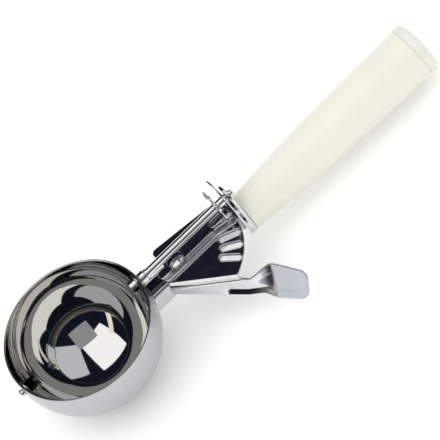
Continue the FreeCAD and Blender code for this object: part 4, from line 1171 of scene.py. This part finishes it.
class ScoopHandle(bpy.types.Operator):
    """Make the moulded grip with its grooves, and the butt cap"""

    bl_idname = "scoop.handle"
    bl_label = "Handle"

    def execute(self, context):
        sizes = settings().handle
        piece("grip", self.grip(sizes), "handle_plastic", "frame", "handle_grip")
        piece("butt_cap_cover", self.cap(sizes), "cap_plastic", "frame", "handle_butt_cap")
        return {"FINISHED"}

    def grip(self, sizes):
        """Radius along the grip: three tapers joined by long arcs, round at both ends, less the
        grooves: each is a cosine across its width that fades out over the last 3 mm of its length."""
        start, end = span("handle_grip")
        spots = np.array([(0, sizes.start), (sizes.swell_start, sizes.swell_start_radius),
                          (sizes.swell_end, sizes.swell_end_radius), (end - start, sizes.end)])
        profile = rounded(spots, np.array([0, 255, 255, 0]) * MM, 10)
        x = np.concatenate([np.linspace(0, 0.8, 8), np.linspace(1.2, 5.2, 6), np.linspace(5.6, 11, 18),
                            np.linspace(12, 86, 60), np.linspace(87, 94, 24),
                            np.linspace(94.6, (end - start) / MM - 0.4, 6),
                            np.linspace((end - start) / MM - 0.3, (end - start) / MM, 6)]) * MM
        radius = np.interp(x, profile[:, 0], profile[:, 1])
        front, rear = 0.8 * MM, 0.35 * MM
        radius -= front - np.sqrt(np.maximum(front ** 2 - np.maximum(front - x, 0) ** 2, 0))
        left = end - start - x
        radius -= rear - np.sqrt(np.maximum(rear ** 2 - np.maximum(rear - left, 0) ** 2, 0))
        angles = circle_angles(360)
        offset = (np.degrees(angles) - (90 + math.degrees(sizes.groove_turn))) % 60
        offset = np.radians(np.minimum(offset, 60 - offset))
        across = np.clip(offset * radius[:, None] / (sizes.groove_width / 2), 0, 1)
        fade = 3 * MM
        length = (smoothstep(x, sizes.groove_start, sizes.groove_start + fade)
                  * smoothstep(-x, -sizes.groove_end, fade - sizes.groove_end))
        depth = sizes.groove_depth * length[:, None] * (0.5 + 0.5 * np.cos(np.pi * across))
        radius = radius[:, None] - depth
        bore = 3.0 * MM
        ring = np.concatenate([np.full((1, len(angles)), bore), radius, np.full((1, len(angles)), bore),
                               np.full((1, len(angles)), bore)])
        x = np.concatenate([x[:1], x, x[-1:], x[:1]])
        centre = sum(span("handle_grip", 2)) / 2
        points = np.stack([np.broadcast_to((start + x)[:, None], ring.shape), ring * np.cos(angles),
                           ring * np.sin(angles) + centre], -1)
        return points.reshape(-1, 3), grid_faces(*ring.shape)

    def cap(self, sizes):
        """A shallow dome on a round-shouldered disc."""
        start, end = span("handle_grip")[1], span("handle_butt_cap")[1]
        face = end - sizes.cap_crown
        rim = sizes.cap - 1.0 * MM
        dome = (rim ** 2 + sizes.cap_crown ** 2) / (2 * sizes.cap_crown)
        r = np.linspace(rim * 0.86, 0, 16)
        crown = np.stack([end - dome + np.sqrt(dome ** 2 - r ** 2), r], -1)
        corners = np.concatenate([[(start, 0), (start, sizes.end), (face, sizes.cap)], crown])
        radii = np.zeros(len(corners))
        radii[[1, 2]] = 0.35 * MM, sizes.cap_round
        centre = sum(span("handle_grip", 2)) / 2
        return lathe(rounded(corners, radii, 14), (0, 0, centre), steps=160)


class ScoopStage(bpy.types.Operator):
    """Make the camera, the softbox, the tent and the floor, and finish the CAD parts that still show"""

    bl_idname = "scoop.stage"
    bl_label = "Stage"

    def execute(self, context):
        sizes, scene = settings().stage, bpy.context.scene
        for name, node in frame["nodes"].items():
            node.data.materials.clear()
            node.data.materials.append(finish(SLOTS[name]))
        self.camera(sizes, scene)
        self.floor(sizes, scene)
        self.softbox(sizes, scene)
        self.tent(sizes, scene)
        scene.view_settings.view_transform = "Standard"
        return {"FINISHED"}

    def camera(self, sizes, scene):
        """A long lens that looks down on the bowl's mouth as the photograph does, far enough away to
        cover the view's width at the scoop."""
        lens = bpy.data.cameras.new("camera")
        lens.lens, lens.clip_end = sizes.lens, 100
        distance = sizes.view_width * sizes.lens / lens.sensor_width
        camera = bpy.data.objects.new("camera", lens)
        scene.collection.objects.link(camera)
        level, slope = VIEW_TURN
        right, up = level * VIEW_RIGHT - slope * VIEW_UP, slope * VIEW_RIGHT + level * VIEW_UP
        right, up, back = (Vector(way).normalized() for way in (right, up, VIEW_BACK))
        spot = Matrix.Translation(Vector(VIEW_AIM) + back * distance)
        camera.matrix_world = spot @ Matrix((right, up, back)).transposed().to_4x4()
        scene.camera = camera

    def floor(self, sizes, scene):
        """A flat sheet under the bowl: a 12 by 12 grid, its edges far outside the view."""
        side = np.linspace(-sizes.floor_half, sizes.floor_half, 13)
        x, y = np.meshgrid(side, side)
        z = np.full(x.shape, CAD_BOX[0][2] - sizes.floor_gap)
        mesh = bpy.data.meshes.new("floor")
        mesh.from_pydata(np.stack([x, y, z], -1).reshape(-1, 3).tolist(), [], grid_faces(13, 13).tolist())
        floor = bpy.data.objects.new("floor", mesh)
        scene.collection.objects.link(floor)
        mesh.materials.append(matte_paper())

    def softbox(self, sizes, scene):
        """The overhead light for matte surfaces; the steel mirrors its panel in the tent instead."""
        light = bpy.data.lights.new("softbox", "AREA")
        light.shape, light.size, light.size_y = "RECTANGLE", sizes.box_width, sizes.box_depth
        light.energy = sizes.box_power
        lamp = bpy.data.objects.new("softbox", light)
        lamp.visible_glossy = False
        scene.collection.objects.link(lamp)
        way = Vector(SOFTBOX_WAY).normalized()
        lamp.location = way * sizes.box_height
        lamp.rotation_euler = way.to_track_quat("Z", "Y").to_euler()

    def tent(self, sizes, scene):
        """What the steel mirrors: a dark studio with pale floor, grey walls and the panels listed
        above. Matte surfaces and the camera see an even pale tent instead."""
        world = bpy.data.worlds.new("tent")
        scene.world = world
        world.use_nodes = True
        tree = world.node_tree
        tree.nodes.clear()
        way = add(tree, "ShaderNodeTexCoord").outputs["Generated"]
        level = add(tree, "ShaderNodeSeparateXYZ", {"Vector": way}).outputs["Z"]
        wall = add(tree, "ShaderNodeMapRange", {"Value": level, "From Min": 0.42, "From Max": 0.16},
                   interpolation_type="SMOOTHSTEP").outputs["Result"]
        near = add(tree, "ShaderNodeMapRange", {"Value": level, "From Min": 0.0, "From Max": -0.02},
                   interpolation_type="SMOOTHSTEP").outputs["Result"]
        tone = self.blend_in(tree, linear(STUDIO_DARK), linear(STUDIO_WALL), wall)
        tone = self.blend_in(tree, tone, linear(STUDIO_FLOOR), near)
        for centre, right, wide, high, code, power in STUDIO_PANELS:
            mask = self.panel(tree, way, centre, right, wide, high)
            tone = self.blend_in(tree, tone, tuple(power * v for v in linear(code)), mask)
        seen = add(tree, "ShaderNodeLightPath").outputs
        glossy = add(tree, "ShaderNodeBackground", {"Color": tone, "Strength": 1.0})
        even = add(tree, "ShaderNodeBackground", {"Color": (1, 1, 1, 1), "Strength": sizes.sky})
        both = add(tree, "ShaderNodeMixShader", {0: seen["Is Glossy Ray"], 1: even.outputs[0],
                                                 2: glossy.outputs[0]})
        add(tree, "ShaderNodeOutputWorld", {"Surface": both.outputs[0]})

    def blend_in(self, tree, below, above, share):
        """Lay one colour over another by a share."""
        mix = add(tree, "ShaderNodeMix", data_type="RGBA")
        for key, value in ((6, below), (7, above)):
            if isinstance(value, bpy.types.NodeSocket):
                tree.links.new(value, mix.inputs[key])
            else:
                mix.inputs[key].default_value = (*value, 1)
        tree.links.new(share, mix.inputs[0])
        return mix.outputs[2]

    def panel(self, tree, way, centre, right, wide, high):
        """Share of a flat panel in the direction looked at, 0 or 1 but for its soft edges: the
        direction is cut with the panel's plane at distance 1."""
        centre = Vector(centre).normalized()
        right = Vector(right)
        right = (right - centre * right.dot(centre)).normalized()
        up = centre.cross(right)
        ahead = add(tree, "ShaderNodeVectorMath", {0: way, 1: centre},
                    operation="DOT_PRODUCT").outputs["Value"]
        share = maths(tree, "GREATER_THAN", ahead, 0.05)
        for axis, half in ((right, wide), (up, high)):
            dot = add(tree, "ShaderNodeVectorMath", {0: way, 1: axis},
                      operation="DOT_PRODUCT").outputs["Value"]
            spread = maths(tree, "ABSOLUTE", maths(tree, "DIVIDE", dot, ahead))
            edge = add(tree, "ShaderNodeMapRange", {"Value": spread, "From Min": half * 1.04,
                                                    "From Max": half * 0.96},
                       interpolation_type="SMOOTHSTEP").outputs["Result"]
            share = maths(tree, "MULTIPLY", share, edge)
        return share


OPERATORS = (ScoopBowl, ScoopScraper, ScoopShaft, ScoopFrame, ScoopPivot, ScoopLever, ScoopHandle,
             ScoopStage)


class ScoopPanel(bpy.types.Panel):
    """Lists the scoop's operators and settings"""

    bl_idname = "VIEW3D_PT_scoop"
    bl_label = "Lever scoop"
    bl_space_type = "VIEW_3D"
    bl_region_type = "UI"
    bl_category = "Scoop"

    def draw(self, context):
        for operator in OPERATORS:
            self.layout.operator(operator.bl_idname)
        for key, group in GROUPS.items():
            box = self.layout.box()
            box.label(text=key.capitalize())
            for name in group.__annotations__:
                box.prop(getattr(context.scene.scoop, key), name)


CLASSES = (*GROUPS.values(), ScoopSettings, *OPERATORS, ScoopPanel)


def register():
    for item in CLASSES:
        bpy.utils.register_class(item)
    bpy.types.Scene.scoop = PointerProperty(type=ScoopSettings)


def unregister():
    del bpy.types.Scene.scoop
    for item in reversed(CLASSES):
        bpy.utils.unregister_class(item)


def main():
    register()
    bpy.ops.scoop.bowl()
    bpy.ops.scoop.scraper()
    bpy.ops.scoop.shaft()
    bpy.ops.scoop.frame()
    bpy.ops.scoop.pivot()
    bpy.ops.scoop.lever()
    bpy.ops.scoop.handle()
    bpy.ops.scoop.stage()


if __name__ == "__main__":
    main()
